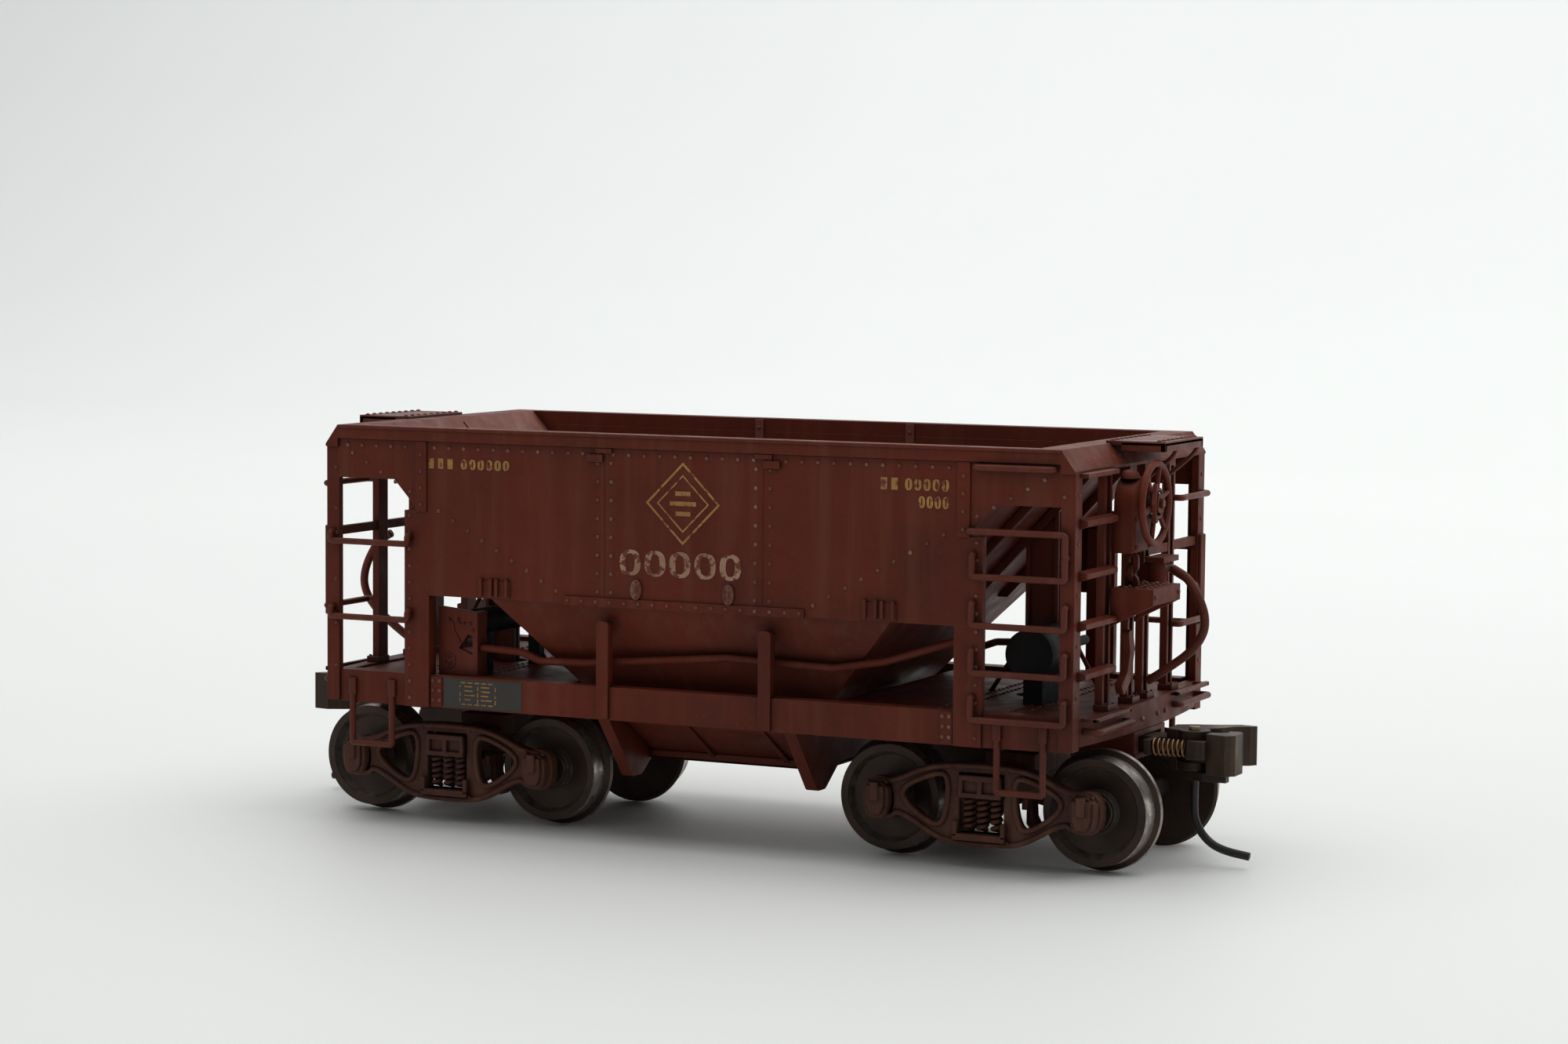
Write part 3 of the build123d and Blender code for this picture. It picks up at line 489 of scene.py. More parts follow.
def side_trim():
    """Battens, lap strips, brackets and patch plates of both sides."""
    trim = Shape()
    y = plate_y
    for side in (-1, 1):
        trim.box((side * 26.4, side * 27.6), (-y - 0.15, -y + 0.1), (29.6, plate_top - 0.02))
        trim.box((side * 24.9, side * 26.1), (-sill_y - 0.12, -sill_y + 0.1),
                 (sill_low.z + 0.1, sill_high.z - 0.1))
        # Ribbed bracket on the lower edge of the plate.
        for x in (17.7, 18.75, 19.35, 20.4):
            rib = (side * x, side * (x + 0.32))
            trim.box(rib, (-y - 0.38, -y + 0.1), (PLATE_BOTTOM + 0.25, 23.75))
        trim.box((side * 17.6, side * 20.8), (-y - 0.12, -y + 0.1), (PLATE_BOTTOM + 0.1, 23.55))
        # Latch plates at the top of the double rivet columns.
        trim.box((side * 7.1, side * 8.8), (-y - 0.2, -y + 0.1), (plate_top - 0.5, plate_top - 0.05))
        trim.box((side * 8.0, side * 9.6), (-y - 0.28, -y + 0.1), (plate_top - 1.3, plate_top - 0.62))
        # Lap joint between the middle and end plates.
        trim.box((side * 7.86, side * 7.94), (-y - 0.05, -y + 0.1), (PLATE_BOTTOM + 0.3, plate_top - 0.1))
    trim.box((-12.0, 12.0), (-y - 0.18, -y + 0.1), (PLATE_BOTTOM - 0.1, 22.6))
    trim.box((-RIM_FLAT, RIM_FLAT), (-rim_high.y - 0.12, -rim_high.y + 0.2),
             (rim_high.z - 0.3, rim_high.z - 0.02))
    trim.mirrored(1)
    trim.piece("side_trim", body_paint, bevel=0.05)


def castings():
    """Oval castings with a ring of bolts, low on both sides."""
    ovals, bolts = Shape(), Shape()
    middle_z = 23.5
    for x in (-4.6, 4.6):
        outline = []
        for i in range(28):
            angle = 2 * math.pi * i / 28
            outline.append((x + 0.55 * math.cos(angle), -plate_y + 0.1, middle_z + 0.92 * math.sin(angle)))
        ovals.prism(outline, (0, -0.35, 0))
        for i in range(6):
            angle = 2 * math.pi * (i + 0.5) / 6
            centre = (x + 0.40 * math.cos(angle), -plate_y - 0.25, middle_z + 0.72 * math.sin(angle))
            bolts.dome(centre, (0, -1, 0), 0.11, 0.1, 6)
        bolts.dome((x, -plate_y - 0.25, middle_z), (0, -1, 0), 0.22, 0.16, 8)
    ovals.mirrored(1)
    bolts.mirrored(1)
    ovals.piece("side_castings", rivet_paint, bevel=0.05)
    bolts.piece("casting_bolts", rivet_paint)


# ---- Ends ---------------------------------------------------------------------------------------
def end_rivets():
    """Rivets on the end sills, platforms, decks and posts of both ends, and on the brake step."""
    rivets = Shape()
    for y in (-4.2, -2.0, 2.0, 4.2):
        bow = 1 - (y / 15.2) ** 2
        rivets.dome((end_x + bow, y, 12.9), (1, 0, 0), 0.24, 0.2)
    for y in steps(platform_low.y + 0.4, platform_high.y - 0.4, 1.2):
        for x in (36.0, 40.3):
            rivets.dome((x, y, platform_high.z - 0.16), (0, 0, 1), 0.22, 0.16)
    for y in steps(-13.0, 13.0, 0.95):
        for x in (30.9, 29.7, 24.4, 23.2):
            rivets.dome((x, y, deck_high.z), (0, 0, 1), 0.2, 0.14)
    for y in steps(-15.5, 15.5, 1.55):
        rivets.dome((end_x - 0.62, y, 36.3), (1.8, 0, 1.3), 0.18, 0.12)
    for z in (16.2, 20.6, 25.0, 29.4, 33.5):
        for y in (-16.1, 16.1):
            rivets.dome((end_x, y, z), (1, 0, 0), 0.18, 0.13)
    rivets.mirrored(0)
    for y in (-7.7, -1.6):
        rivets.dome((step_high.x, y, 24.3), (1, 0, 0), 0.22, 0.2)
    for y in steps(step_low.y + 0.9, step_high.y - 0.9, 1.0):
        for x in (38.3, 39.3, 40.3):
            rivets.dome((x, y, step_high.z), (0, 0, 1), 0.24, 0.14, 8)
    rivets.piece("end_rivets", rivet_paint)


def brake_end_details():
    """The brake housing's bolts and round top, and the foot boxes of both ends' channels."""
    bolts, trim = Shape(), Shape()
    for y, z in ((-7.2, 28.5), (-3.8, 28.5), (-7.2, 31.0), (-3.6, 31.0)):
        bolts.dome((HOUSING_FACE, y, z), (1, 0, 0), 0.24, 0.22, 8)
    for low, high in ((-9.3, -7.5), (-3.0, -1.4), (0.9, 2.5), (7.5, 9.1)):
        trim.box((end_x - 0.95, end_x + 0.45), (low - 0.15, high + 0.15),
                 (end_sill_high.z - 0.02, end_sill_high.z + 0.55))
        for y in (low + 0.3, high - 0.3):
            bolts.dome((end_x + 0.3, y, end_sill_high.z + 0.55), (0, 0, 1), 0.16, 0.14, 8)
    bolts.half_turned()
    trim.half_turned()
    trim.dome((HOUSING_FACE - 1.0, -6.2, housing_high.z - 0.05), (0, 0, 1), 0.85, 0.75, 16)
    bolts.piece("end_bolts", detail_paint)
    trim.piece("channel_feet", detail_paint, bevel=0.06)


def platforms():
    """The plate over each end, with its skirt and two bent stays, and the end ladder's top rung."""
    plates, stays = Shape(), Shape()
    top, skirt = platform_high.z - 0.16, 36.75
    plates.box((35.5, platform_high.x), (platform_low.y, platform_high.y), (top - 0.4, top))
    plates.box((platform_high.x - 0.45, platform_high.x), (platform_low.y, platform_high.y),
               (skirt, top - 0.1))
    for side in (-1, 1):
        edge = side * platform_high.y
        plates.box((36.9, platform_high.x), (edge - side * 0.45, edge), (skirt, top - 0.1))
    for y in (-0.9, 4.85):
        route = [(40.6, y, 36.9), (40.2, y, 36.0), (37.2, y, 33.6)]
        stays.tube(lines_rounded(route, 2, False), 0.2, 8)
    # The top rung of the end ladder, close under the rim.
    plates.box((end_x - 0.05, end_x + 0.8), (-15.9, -8.3), (35.0, 35.4))
    plates.half_turned()
    stays.half_turned()
    made = plates.piece("end_walkways", detail_paint, bevel=0.05)
    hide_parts("end_platforms")
    stays.piece("walkway_stays", detail_paint)


def wheel_nut():
    """The six-sided nut on the hand wheel's peg, and a ring round its hub."""
    nut = Shape()
    centre = (wheel_low + wheel_high) / 2
    outline = []
    for i in range(6):
        angle = math.pi / 3 * i + 0.3
        across, up = 0.42 * math.cos(angle), 0.42 * math.sin(angle)
        outline.append((wheel_high.x - 0.2, centre.y + across, centre.z + up))
    nut.prism(outline, (0.34, 0, 0))
    ring = []
    for i in range(25):
        angle = 2 * math.pi * i / 24
        across, up = 1.25 * math.cos(angle), 1.25 * math.sin(angle)
        ring.append((wheel_high.x - 0.45, centre.y + across, centre.z + up))
    nut.tube(ring, 0.17, 8)
    nut.piece("hand_wheel_nut", detail_paint, "brake_wheel", bevel=0.05)


def end_straps():
    """The raised vertical strap on one corner post of each end, and the bracket bars over the end sills."""
    straps = Shape()
    straps.box((-end_x - 0.28, -end_x + 0.1), (-plate_y + 0.05, -15.5), (19.6, 27.95))
    straps.half_turned()
    straps.piece("post_straps", body_paint, bevel=0.1)
    ledges = Shape()
    sill_top = end_sill_high.z
    for low, high in ((-14.9, -6.2), (6.2, 14.9)):
        for y_low, y_high in ((low, low + 0.5), (high - 0.5, high)):
            ledges.box((end_x - 0.1, end_x + 1.5), (y_low, y_high), (sill_top - 0.28, sill_top + 0.05))
        ledges.box((end_x + 1.05, end_x + 1.5), (low, high), (sill_top - 0.28, sill_top + 0.1))
    ledges.half_turned()
    ledges.piece("end_sill_ledges", detail_paint, bevel=0.06)


# ---- Inside of the hopper ------------------------------------------------------------------------
def slope_x(z):
    """Inside face of the end slope sheet at height z."""
    return SLOPE_TOP_X - (rim_high.z - z) / SLOPE_RISE


def hopper_lining():
    """Seams on the inside walls and the slope sheets, with the walls' rivets."""
    seams, rivets = Shape(), Shape()
    for x in (-8.0, 8.0):
        seams.box((x - 0.45, x + 0.45), (CAVITY_Y - 0.14, CAVITY_Y + 0.1),
                  (PLATE_BOTTOM, rim_high.z - 0.1))
        for z in steps(PLATE_BOTTOM + 0.8, rim_high.z - 0.9, 1.5):
            rivets.dome((x, CAVITY_Y - 0.14, z), (0, -1, 0), 0.2, 0.12)
    normal = Vector((-SLOPE_RISE, 0, 1)).normalized()
    outline = []
    for z, lift in ((36.9, 0.0), (16.0, 0.0), (16.0, 0.16), (36.9, 0.16)):
        outline.append(Vector((slope_x(z), -1.2, z)) + normal * lift)
    seams.prism(outline, (0, 0.4, 0))
    seams.half_turned()
    rivets.half_turned()
    seams.piece("hopper_seams", inside_paint, bevel=0.03)
    rivets.piece("hopper_rivets", inside_paint)


def slope_sheet_wear():
    """A thin skin over both slope sheets, in the worn paint of the hopper's inside."""
    skin = Shape()
    lift = 0.03
    top, bottom = rim_high.z - 0.05, 14.2
    for side in (-1, 1):
        foot_y = CAVITY_Y - (PLATE_BOTTOM - bottom) * FUNNEL_LEAN
        corners = ((top, -CAVITY_Y), (top, CAVITY_Y), (PLATE_BOTTOM, CAVITY_Y), (bottom, foot_y),
                   (bottom, -foot_y), (PLATE_BOTTOM, -CAVITY_Y))
        outline = [(side * slope_x(z), y, z) for z, y in corners]
        shift = Vector((-side * lift, 0, lift))
        skin.prism([Vector(p) + shift for p in outline], (side * lift * 0.6, 0, -lift * 0.6))
    skin.piece("slope_sheet_wear", inside_paint)


# ---- Underneath ----------------------------------------------------------------------------------
def coil(centres, axis, radius, length, turns, wire, name, material, body, slot, replaced):
    """Coil springs along an axis, one round each centre, as one piece."""
    shape = Shape()
    for middle in centres:
        axis_vector = Vector(axis)
        across = axis_vector.orthogonal().normalized()
        other = axis_vector.cross(across)
        path = []
        count = turns * 14
        for i in range(count + 1):
            share = i / count
            angle = 2 * math.pi * turns * share
            along = (share - 0.5) * (length - 2 * wire)
            path.append(Vector(middle) + axis_vector * along
                        + (across * math.cos(angle) + other * math.sin(angle)) * (radius - wire))
        shape.tube(path, wire, 6)
    made = shape.piece(name, material, body, slot)
    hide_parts(replaced)
    return made


def truck_details(end):
    """Coil springs and bolts of one truck."""
    body = f"truck_{end}"
    frame_low, frame_high = box_mm(f"truck_frame_{end}")
    spring_low, spring_high = box_mm(f"truck_springs_{end}")
    centre_x = (frame_low.x + frame_high.x) / 2
    spring_z = (spring_low.z + spring_high.z) / 2
    places = []
    for y in (spring_low.y + 0.6, spring_high.y - 0.6):
        for x in (-1.3, 0.0, 1.3):
            places.append((centre_x + x, y, spring_z))
    coil(places, (0, 0, 1), 0.6, spring_high.z - spring_low.z, 5, 0.23, f"truck_coils_{end}",
         truck_paint, body, "truck_plastic", f"truck_springs_{end}")
    bolts = Shape()
    for x in (-HALF_WHEELBASE, HALF_WHEELBASE):
        for dx in (-0.85, 0.85):
            bolts.dome((centre_x + x + dx, -12.75, 7.18), (0, 0, 1), 0.2, 0.24, 8)
            bolts.dome((centre_x + x + dx * 1.05, -13.08, 4.9), (0, -1, 0), 0.13, 0.14, 8)
    for dx in (-2.55, 2.55):
        for z in (2.6, 8.9):
            bolts.dome((centre_x + dx, -FRAME_Y[1] - 0.05, z), (0, -1, 0), 0.2, 0.16, 8)
    bolts.mirrored(1)
    bolts.piece(f"truck_bolts_{end}", truck_paint, body, "truck_plastic")


def truck_casting(end):
    """A cast truck: flanged side frames, journal boxes, spring seats, bolster and brake shoes."""
    body = f"truck_{end}"
    frame_low, frame_high = box_mm(f"truck_frame_{end}")
    centre_x = (frame_low.x + frame_high.x) / 2
    cast, beams = Shape(), Shape()
    inner, outer = FRAME_Y

    def moved(points):
        return [(centre_x + p[0], p[1]) for p in points]

    half = [(2.4, 9.4), (5.4, 8.95), (8.4, 7.35), (10.8, 7.3), (10.8, 4.0), (8.7, 4.0), (8.0, 4.75),
            (4.2, 2.4), (2.5, 2.05)]
    outline = lines_rounded(half + [(-x, z) for x, z in reversed(half)])
    hole = [(2.95, 8.45), (4.9, 8.15), (7.7, 6.75), (7.2, 5.4), (4.4, 3.5), (3.3, 4.3)]
    holes = []
    for side in (-1, 1):
        holes.append(lines_rounded([(side * x, z) for x, z in hole], 3))
    window = [(-2.1, 3.2), (2.1, 3.2), (2.1, 8.5), (-2.1, 8.5)]
    cast.casting([moved(loop) for loop in (outline, *holes, window)], -outer + 0.15, -inner, 0.12)
    # Rounded flanges round the outside and round both openings.
    flange = []
    for point in outline:
        flange.append(Vector((point.x * 0.985, FRAME_MIDDLE_Z + (point.y - FRAME_MIDDLE_Z) * 0.93)))
    for loop in (flange, *holes):
        ring = [(centre_x + p.x, -outer + 0.12, p.y) for p in loop]
        cast.tube([*ring, ring[0]], 0.27, 8)
    for x in (-HALF_WHEELBASE, HALF_WHEELBASE):
        box = [(-1.2, 7.2), (1.2, 7.2), (1.2, 5.0), (0.75, 4.0), (-0.75, 4.0), (-1.2, 5.0)]
        cast.casting([moved([(x + dx, z) for dx, z in lines_rounded(box, 1)])], -13.1, -10.4, 0.14)
        lid = [(-0.85, 6.9), (0.85, 6.9), (0.85, 5.1), (0.45, 4.35), (-0.45, 4.35), (-0.85, 5.1)]
        cast.casting([moved([(x + dx, z) for dx, z in lid])], -13.4, -13.0, 0.12)
        hinge = [(-0.4, 7.25), (0.4, 7.25), (0.4, 5.6), (-0.4, 5.6)]
        cast.casting([moved([(x + dx, z) for dx, z in hinge])], -13.65, -13.2, 0.1)
        pedestal = lines_rounded([(-1.5, 7.6), (1.5, 7.6), (1.5, 3.8), (-1.5, 3.8)], 2)
        cast.casting([moved([(x + dx, z) for dx, z in pedestal])], -12.2, -inner, 0.12)
    # The bolster's end shows two windows over the springs.
    end_face = [(-2.0, 6.35), (2.0, 6.35), (2.0, 8.35), (-2.0, 8.35)]
    windows = []
    for side in (-1, 1):
        near, far = side * 0.22, side * 1.6
        windows.append([(near, 6.8), (far, 6.8), (far, 7.85), (near, 7.85)])
    cast.casting([moved(loop) for loop in (end_face, *windows)], -12.75, -12.2, 0.1)
    beams.box((centre_x - 2.45, centre_x + 2.45), (-12.9, -inner), (2.6, 3.2))
    for side in (-1, 1):
        beams.box((centre_x + side * 2.05, centre_x + side * 2.45), (-12.9, -12.4), (2.9, 4.3))
        # A brake shoe, just clear of the tread.
        shoe = [(3.3, 6.4), (3.8, 6.4), (3.9, 4.6), (4.75, 2.9), (4.35, 2.6), (3.3, 4.0)]
        beams.prism([(centre_x + side * x, -9.8, z) for x, z in shoe], (0, 1.6, 0))
        beams.box((centre_x + side * 3.3, centre_x + side * 3.8), (-inner, -9.8), (5.4, 6.4))
    beams.box((centre_x - 1.85, centre_x + 1.85), (-12.4, -KINGPIN_CLEAR), (6.4, 8.3))
    beams.box((centre_x - 2.4, centre_x + 2.4), (-5.5, -KINGPIN_CLEAR), (7.6, frame_high.z))
    beams.box((centre_x - 3.3, centre_x + 3.3), (-8.3, -7.9), (5.6, 6.4))
    beams.box((centre_x - 1.85, centre_x + 1.85), (-8.3, -KINGPIN_CLEAR), (5.6, 6.4))
    for side in (-1, 1):
        gap_x = centre_x + side * KINGPIN_CLEAR
        beams.box((gap_x, centre_x + side * 2.4), (-KINGPIN_CLEAR, 0), (7.6, frame_high.z))
        beams.box((gap_x, centre_x + side * 1.85), (-KINGPIN_CLEAR, 0), (5.6, 8.3))
    cast.mirrored(1)
    beams.mirrored(1)
    made = cast.piece(f"truck_casting_{end}", truck_paint, body, "truck_plastic")
    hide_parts(f"truck_frame_{end}")
    beams.piece(f"truck_bolster_{end}", truck_paint, body, "truck_plastic", 0.08)


def trip_pin(end):
    """The bent wire under a coupler, in one smooth curve."""
    sign = 1 if end == "b" else -1
    bends = ((42.9, 7.9), (42.85, 5.6), (42.95, 3.9), (44.1, 2.3), (45.6, 1.55), (48.03, 1.2))
    route = [(sign * x, sign * -1.2, z) for x, z in bends]
    wire = Shape()
    wire.tube(lines_rounded(route, 3, False), 0.37, 12)
    made = wire.piece(f"trip_wire_{end}", trip_black, f"knuckle_{end}_body", "trip_wire")
    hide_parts(f"trip_pin_{end}")


def bent_pipes():
    """The drain pipes of both ends, and the hanging sill steps, as smoothly bent bars."""
    pipes, stirrups, feet = Shape(), Shape(), Shape()
    bends = ((37.3, 15.8), (38.6, 16.6), (41.9, 19.0), (42.9, 21.6), (41.2, 25.1), (39.5, 26.0))
    route = [(x, 1.7, z) for x, z in bends]
    pipes.tube(lines_rounded(route, 3, False), 0.4, 12)
    pipes.half_turned()
    made = pipes.piece("end_drain_pipes", detail_paint, slot="detail_plastic")
    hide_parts("end_pipes")
    low, high = box_mm("sill_steps")
    y = high.y - 0.34
    near, far, foot = 30.25, 34.5, low.z + 0.32
    face = -sill_y - 0.1
    # The two lowest corners are given twice, which keeps them tighter.
    loop = [(near, face, 13.7), (near, face, 11.6), (near, -y, 10.9), (near, -y, foot), (near, -y, foot),
            (far, -y, foot), (far, -y, foot), (far, -y, 10.9), (far, face, 11.6), (far, face, 13.7)]
    stirrups.tube(lines_rounded(loop, 2, False), 0.31, 8)
    for x in (near, far):
        feet.box((x - 0.4, x + 0.4), (-sill_y - 0.34, -sill_y + 0.2), (12.2, 13.8))
    for shape in (stirrups, feet):
        shape.mirrored(1)
        shape.mirrored(0)
    made = stirrups.piece("sill_stirrups", detail_paint, slot="detail_plastic")
    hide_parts("sill_steps")
    feet.piece("stirrup_feet", detail_paint, slot="detail_plastic", bevel=0.12)


def chute_doors():
    """The closed drop doors under the funnel, with their bottom flange and cross ribs."""
    low, high = box_mm("hopper_doors")
    doors = Shape()
    half = 8.75
    leaf = [(-half, -12.4, high.z), (-half, -5.0, 7.0), (-half, 5.0, 7.0), (-half, 12.4, high.z)]
    doors.prism(leaf, (2 * half, 0, 0))
    for x in (-2.6, 5.0):
        for side in (-1, 1):
            rib = [(x, side * 12.7, high.z), (x, side * 5.3, 6.75), (x, side * 4.6, 6.75),
                   (x, side * 11.8, high.z)]
            doors.prism(rib, (0.55, 0, 0))
    doors.box((-half, half), (-5.9, 5.9), (low.z + 0.02, low.z + 0.28))
    for side in (-1, 1):
        doors.box((-half, half), (side * 5.5, side * 5.9), (low.z + 0.02, low.z + 0.85))
    made = doors.piece("chute_doors", body_paint, bevel=0.08)
    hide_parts("hopper_doors")


def slope_underside(x):
    """Height of the underside of an end slope sheet at x."""
    return PLATE_BOTTOM + (x - 20.0) * SLOPE_RISE + 0.1


def under_slope_columns():
    """A column between each end deck and the slope sheet, with two stay rods."""
    columns, rods = Shape(), Shape()
    deck = deck_high.z - 0.1
    # A web and its two flanges.
    for low_x, high_x, low_y, high_y in ((26.3, 29.4, -0.05, 0.35), (26.3, 26.7, -0.4, 0.9),
                                         (29.0, 29.4, -0.35, 0.9)):
        outline = [(low_x, low_y, deck), (high_x, low_y, deck), (high_x, low_y, slope_underside(high_x)),
                   (low_x, low_y, slope_underside(low_x))]
        columns.prism(outline, (0, high_y - low_y, 0))
    rods.tube([(29.3, 0.7, 21.5), (33.6, 0.7, deck)], 0.22, 8)
    rods.tube([(26.4, 0.7, 20.0), (22.6, 0.7, deck)], 0.22, 8)
    columns.half_turned()
    rods.half_turned()
    columns.piece("under_slope_columns", body_paint, bevel=0.05)
    rods.piece("under_slope_rods", detail_paint)


def coupler_spring(end):
    """The knuckle spring of one coupler, a coil with a mesh of its own."""
    low, high = box_mm(f"knuckle_spring_{end}")
    middle = (low + high) / 2
    made = coil([tuple(middle)], (1, 0, 0), 0.8, high.x - low.x + 0.1, 7, 0.11, f"knuckle_coil_{end}",
                spring_bronze, f"coupler_{end}", "spring_bronze", f"knuckle_spring_{end}")
    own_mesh(made)


def wheel_details(end, place):
    """A hub ring on the outer face of both wheels of an axle."""
    low, high = box_mm(f"wheels_{end}_{place}")
    centre = (low + high) / 2
    hub_r = 1.75
    rings = Shape()
    for side in (-1, 1):
        points = []
        for i in range(33):
            angle = 2 * math.pi * i / 32
            points.append((centre.x + hub_r * math.cos(angle), side * (high.y - 0.28),
                           centre.z + hub_r * math.sin(angle)))
        rings.tube(points, 0.12, 8)
    rings.piece(f"hub_rings_{end}_{place}", wheel_metal, f"wheelset_{end}_{place}", "wheel_metal")


# ---- Marks -----------------------------------------------------------------------------------------
def zero_digit(shape, x, z, width, height, y, weight):
    """A slab-sided numeral zero in the plane of the side."""
    outer, inner = [], []
    power = 0.8                             # below 1 squares the oval's corners
    for i in range(20):
        angle = 2 * math.pi * i / 20
        c, s = math.cos(angle), math.sin(angle)
        px = math.copysign(abs(c) ** power, c)
        pz = math.copysign(abs(s) ** power, s)
        outer.append((x + px * width / 2, z + pz * height / 2))
        inner.append((x + px * (width / 2 - weight), z + pz * (height / 2 - weight * 0.55)))
    for i in range(20):
        j = (i + 1) % 20
        ring = [outer[i], outer[j], inner[j], inner[i]]
        shape.prism([(px, y, pz) for px, pz in ring], (0, -INK, 0))


def digits(shape, x_low, x_high, z_low, z_high, y, count, gap, weight):
    """A row of zeros."""
    pitch = (x_high - x_low) / count
    for i in range(count):
        zero_digit(shape, x_low + pitch * (i + 0.5), (z_low + z_high) / 2, pitch - gap, z_high - z_low,
                   y, weight)


def side_marks():
    """Generic marks where the car is lettered: rows of zeros, bars and a diamond, on both sides."""
    gold, pale, orange, ground = Shape(), Shape(), Shape(), Shape()
    y = -plate_y - 0.005
    digits(gold, -22.9, -17.6, 33.65, 34.6, y, 6, 0.2, 0.27)
    for x in (-26.2, -25.2, -24.2):
        gold.box((x, x + 0.55), (y, y - INK), (33.65, 34.6))
    for x in (19.2, 20.2):
        gold.box((x, x + 0.6), (y, y - INK), (33.45, 34.5))
    digits(gold, 21.4, 25.7, 33.45, 34.5, y, 5, 0.18, 0.27)
    digits(gold, 22.7, 25.7, 31.95, 33.0, y, 4, 0.14, 0.24)
    digits(pale, -6.5, 6.0, 24.75, 27.1, y, 5, 0.38, 0.6)
    middle_z = 31.4
    for size, width in ((3.7, 0.28), (2.6, 0.2)):
        for i in range(4):
            a, b = math.pi / 2 * i, math.pi / 2 * (i + 1)
            ring = []
            for angle, reach in ((a, size), (b, size), (b, size - width), (a, size - width)):
                ring.append((reach * math.cos(angle), y, middle_z + reach * math.sin(angle)))
            gold.prism(ring, (0, -INK, 0))
    for z in (30.5, middle_z, 32.3):
        reach = 1.3 if z == middle_z else 0.75
        gold.box((-reach, reach), (y, y - INK), (z - 0.2, z + 0.2))
    panel_y = -sill_y - 0.005
    ground.box((-24.7, -16.5), (panel_y, panel_y - INK), (sill_low.z + 0.12, sill_high.z - 0.15))
    mark_y = panel_y - INK
    for x in steps(-22.9, -19.3, 0.75)[:-1]:
        for z in (12.0, 14.0):
            orange.box((x, x + 0.5), (mark_y, mark_y - INK), (z - 0.06, z + 0.06))
    for z in steps(12.1, 13.9, 0.62)[:-1]:
        for x in (-22.95, -21.1, -19.25):
            orange.box((x - 0.06, x + 0.06), (mark_y, mark_y - INK), (z, z + 0.42))
    for z in (12.45, 12.85, 13.25, 13.65):
        ends = ((-22.5, -21.6 + 0.3 * math.sin(9 * z)), (-20.75, -19.85 + 0.3 * math.cos(7 * z)))
        for x_span in ends:
            orange.box(x_span, (mark_y, mark_y - INK), (z - 0.06, z + 0.06))
    for shape in (gold, pale, orange, ground):
        shape.half_turned()
    gold.piece("gold_marks", gold_ink)
    pale.piece("pale_marks", pale_ink)
    ground.piece("stencil_panels", stencil_ground)
    orange.piece("stencil_dashes", orange_ink)


def rigging_reliefs():
    """A raised rod, a hook, a crossed ring and two bolts on the brake rigging plate."""
    reliefs = Shape()
    low = box_mm("rigging_plate")[0]
    y = low.y - 0.02
    x0, z0 = low.x, low.z
    long_rod = ((1.1, 5.6), (1.5, 5.2), (1.6, 4.5), (2.0, 3.9), (2.3, 3.4))
    hook = ((2.1, 5.7), (2.15, 5.2), (2.5, 5.05), (2.8, 5.3))
    for route, radius in ((long_rod, 0.12), (hook, 0.11)):
        reliefs.tube([(x0 + x, y, z0 + z) for x, z in route], radius, 6)
    ring = []
    for i in range(21):
        angle = 2 * math.pi * i / 20
        ring.append((x0 + 1.1 + 0.62 * math.cos(angle), y, z0 + 1.7 + 0.62 * math.sin(angle)))
    reliefs.tube(ring, 0.09, 6)
    for angle in (0.4, 0.4 + math.pi / 2):
        c, s = 0.6 * math.cos(angle), 0.6 * math.sin(angle)
        reliefs.tube([(x0 + 1.1 - c, y, z0 + 1.7 - s), (x0 + 1.1 + c, y, z0 + 1.7 + s)], 0.09, 6)
    for x, z in ((x0 + 3.3, z0 + 5.2), (x0 + 3.6, z0 + 4.6)):
        reliefs.dome((x, y, z), (0, -1, 0), 0.16, 0.14, 8)
    reliefs.piece("rigging_reliefs", detail_paint)


# ---- Stage, light and camera -----------------------------------------------------------------------
def backdrop():
    """A pale floor that curves up behind the car."""
    sweep = 500                             # radius of the curve, and where it starts
    profile = [(-260, 0), (sweep, 0)]
    for i in range(1, 13):
        angle = math.pi / 2 * i / 12
        profile.append((sweep + sweep * math.sin(angle), sweep - sweep * math.cos(angle)))
    profile.append((2 * sweep, 1900))
    half = 2200
    points, faces = [], []
    for y, z in profile:
        points += [(-half, y, z), (half, y, z)]
    for i in range(len(profile) - 1):
        faces.append((2 * i, 2 * i + 1, 2 * i + 3, 2 * i + 2))
    mesh = bpy.data.meshes.new("backdrop")
    mesh.from_pydata([Vector(p) * MM for p in points], [], faces)
    for polygon in mesh.polygons:
        polygon.use_smooth = True
    floor = bpy.data.objects.new("backdrop", mesh)
    bpy.context.scene.collection.objects.link(floor)
    g = Graph("backdrop_paper")
    g.link(g.mix(g.noise(6, 3), (0.80, 0.81, 0.79), (0.84, 0.85, 0.83)), g.shader.inputs["Base Color"])
    g.shader.inputs["Roughness"].default_value = 0.55
    mesh.materials.append(g.material)


def area_light(name, place, aim, size, power, tint=(1, 1, 1)):
    data = bpy.data.lights.new(name, "AREA")
    data.shape = "RECTANGLE"
    data.size, data.size_y = size
    data.energy = power
    data.color = tint
    made = bpy.data.objects.new(name, data)
    bpy.context.scene.collection.objects.link(made)
    made.location = place
    made.rotation_euler = (Vector(aim) - Vector(place)).to_track_quat("-Z", "Y").to_euler()


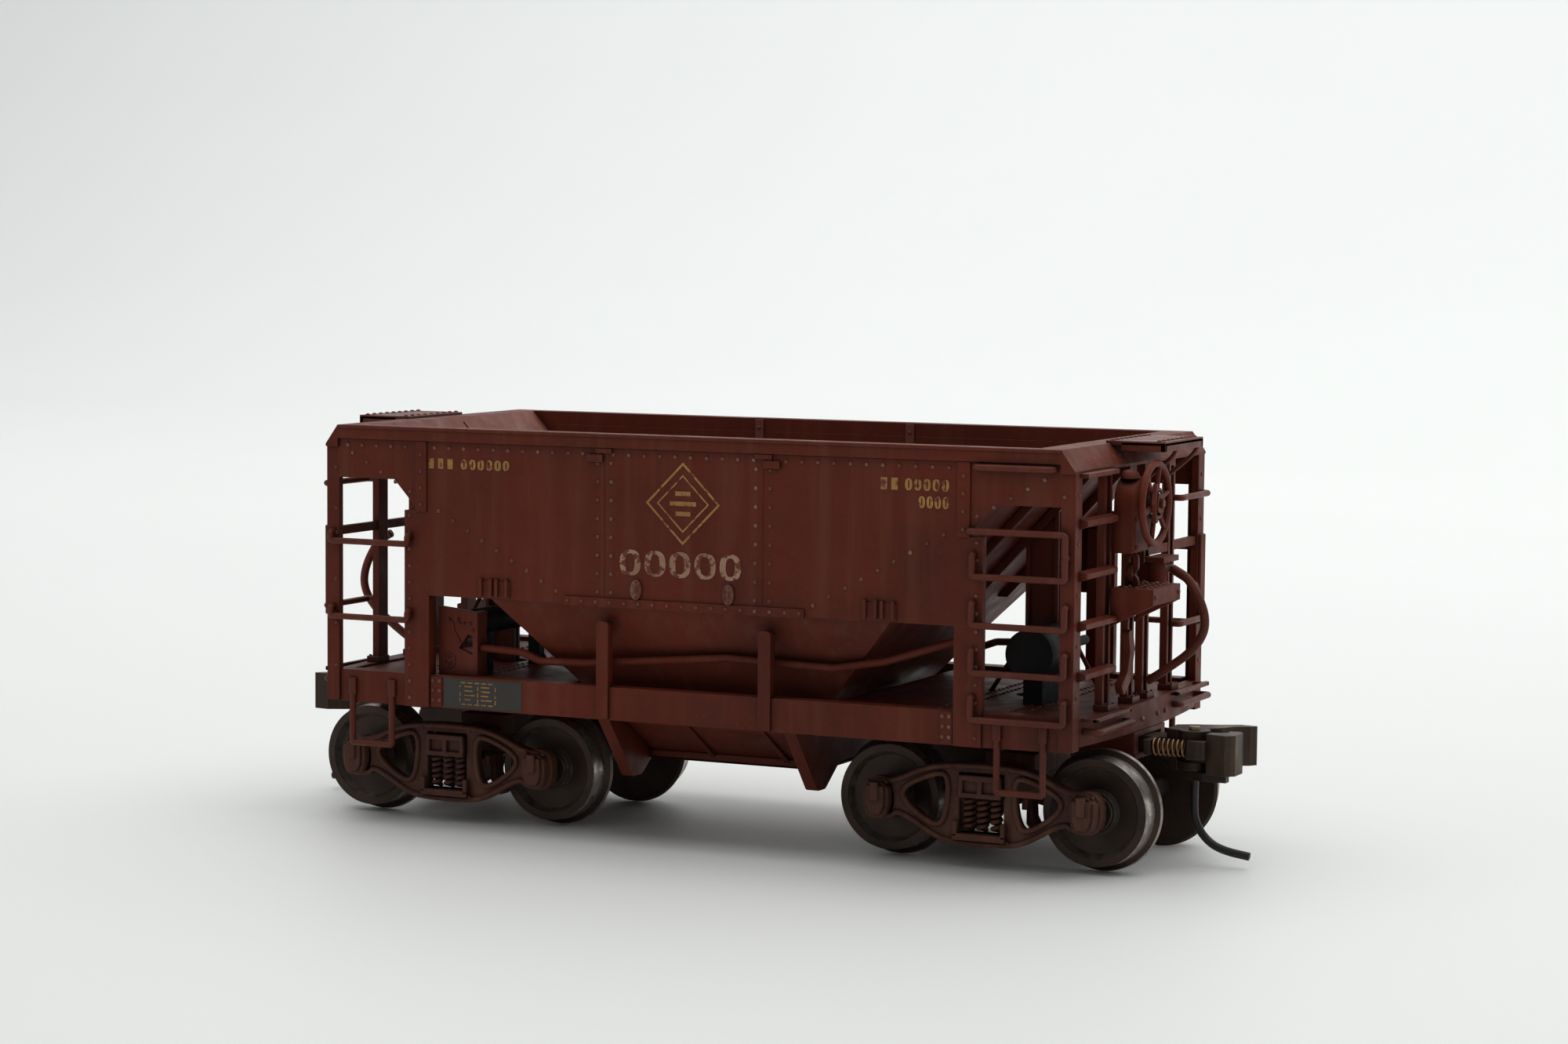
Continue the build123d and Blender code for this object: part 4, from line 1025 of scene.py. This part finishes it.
def lights():
    world = bpy.data.worlds.new("studio")
    world.use_nodes = True
    world.node_tree.nodes["Background"].inputs[0].default_value = (0.93, 0.97, 1.0, 1)
    world.node_tree.nodes["Background"].inputs[1].default_value = 0.24
    bpy.context.scene.world = world
    area_light("back_light", (0.05, 0.40, 0.80), (0, 0.0, 0), (1.6, 1.2), 5.6, (0.98, 0.99, 1.0))
    area_light("top_light", (0.0, -0.15, 0.95), (0, -0.05, 0), (1.8, 0.9), 5.4, (1.0, 0.99, 0.97))
    area_light("wall_light", (0.0, 0.35, 0.9), (0, 1.1, 0.5), (2.0, 0.6), 3.7, (0.97, 0.99, 1.0))
    area_light("front_fill", (-0.5, -0.8, 0.5), (0, 0, 0.02), (0.8, 0.6), 0.4)


def camera():
    """A view from a little above the car, off its brake-wheel corner."""
    data = bpy.data.cameras.new("camera")
    data.lens = 83.02
    data.sensor_width = 36.0
    data.clip_start, data.clip_end = 0.01, 20.0
    made = bpy.data.objects.new("camera", data)
    bpy.context.scene.collection.objects.link(made)
    yaw, pitch, roll = (math.radians(angle) for angle in (25.204, 4.607, 0.477))
    forward = Vector((-math.sin(yaw) * math.cos(pitch), math.cos(yaw) * math.cos(pitch), -math.sin(pitch)))
    right = Vector((math.cos(yaw), math.sin(yaw), 0))
    up = right.cross(forward)
    turned_right = right * math.cos(roll) + up * math.sin(roll)
    turned_up = up * math.cos(roll) - right * math.sin(roll)
    rotation = Matrix((turned_right, turned_up, -forward)).transposed()
    made.matrix_world = Matrix.Translation((0.14474, -0.30329, 0.05571)) @ rotation.to_4x4()
    bpy.context.scene.camera = made


# ---- Everything in place ---------------------------------------------------------------------------
camera()
lights()
backdrop()
side_rivets()
side_trim()
castings()
end_rivets()
brake_end_details()
wheel_nut()
end_straps()
hopper_lining()
slope_sheet_wear()
side_marks()
rigging_reliefs()
platforms()
bent_pipes()
chute_doors()
under_slope_columns()
for end in ("b", "a"):
    truck_details(end)
    coupler_spring(end)
    truck_casting(end)
    trip_pin(end)
    for place in ("outer", "inner"):
        wheel_details(end, place)

bpy.context.scene.view_settings.view_transform = "Standard"
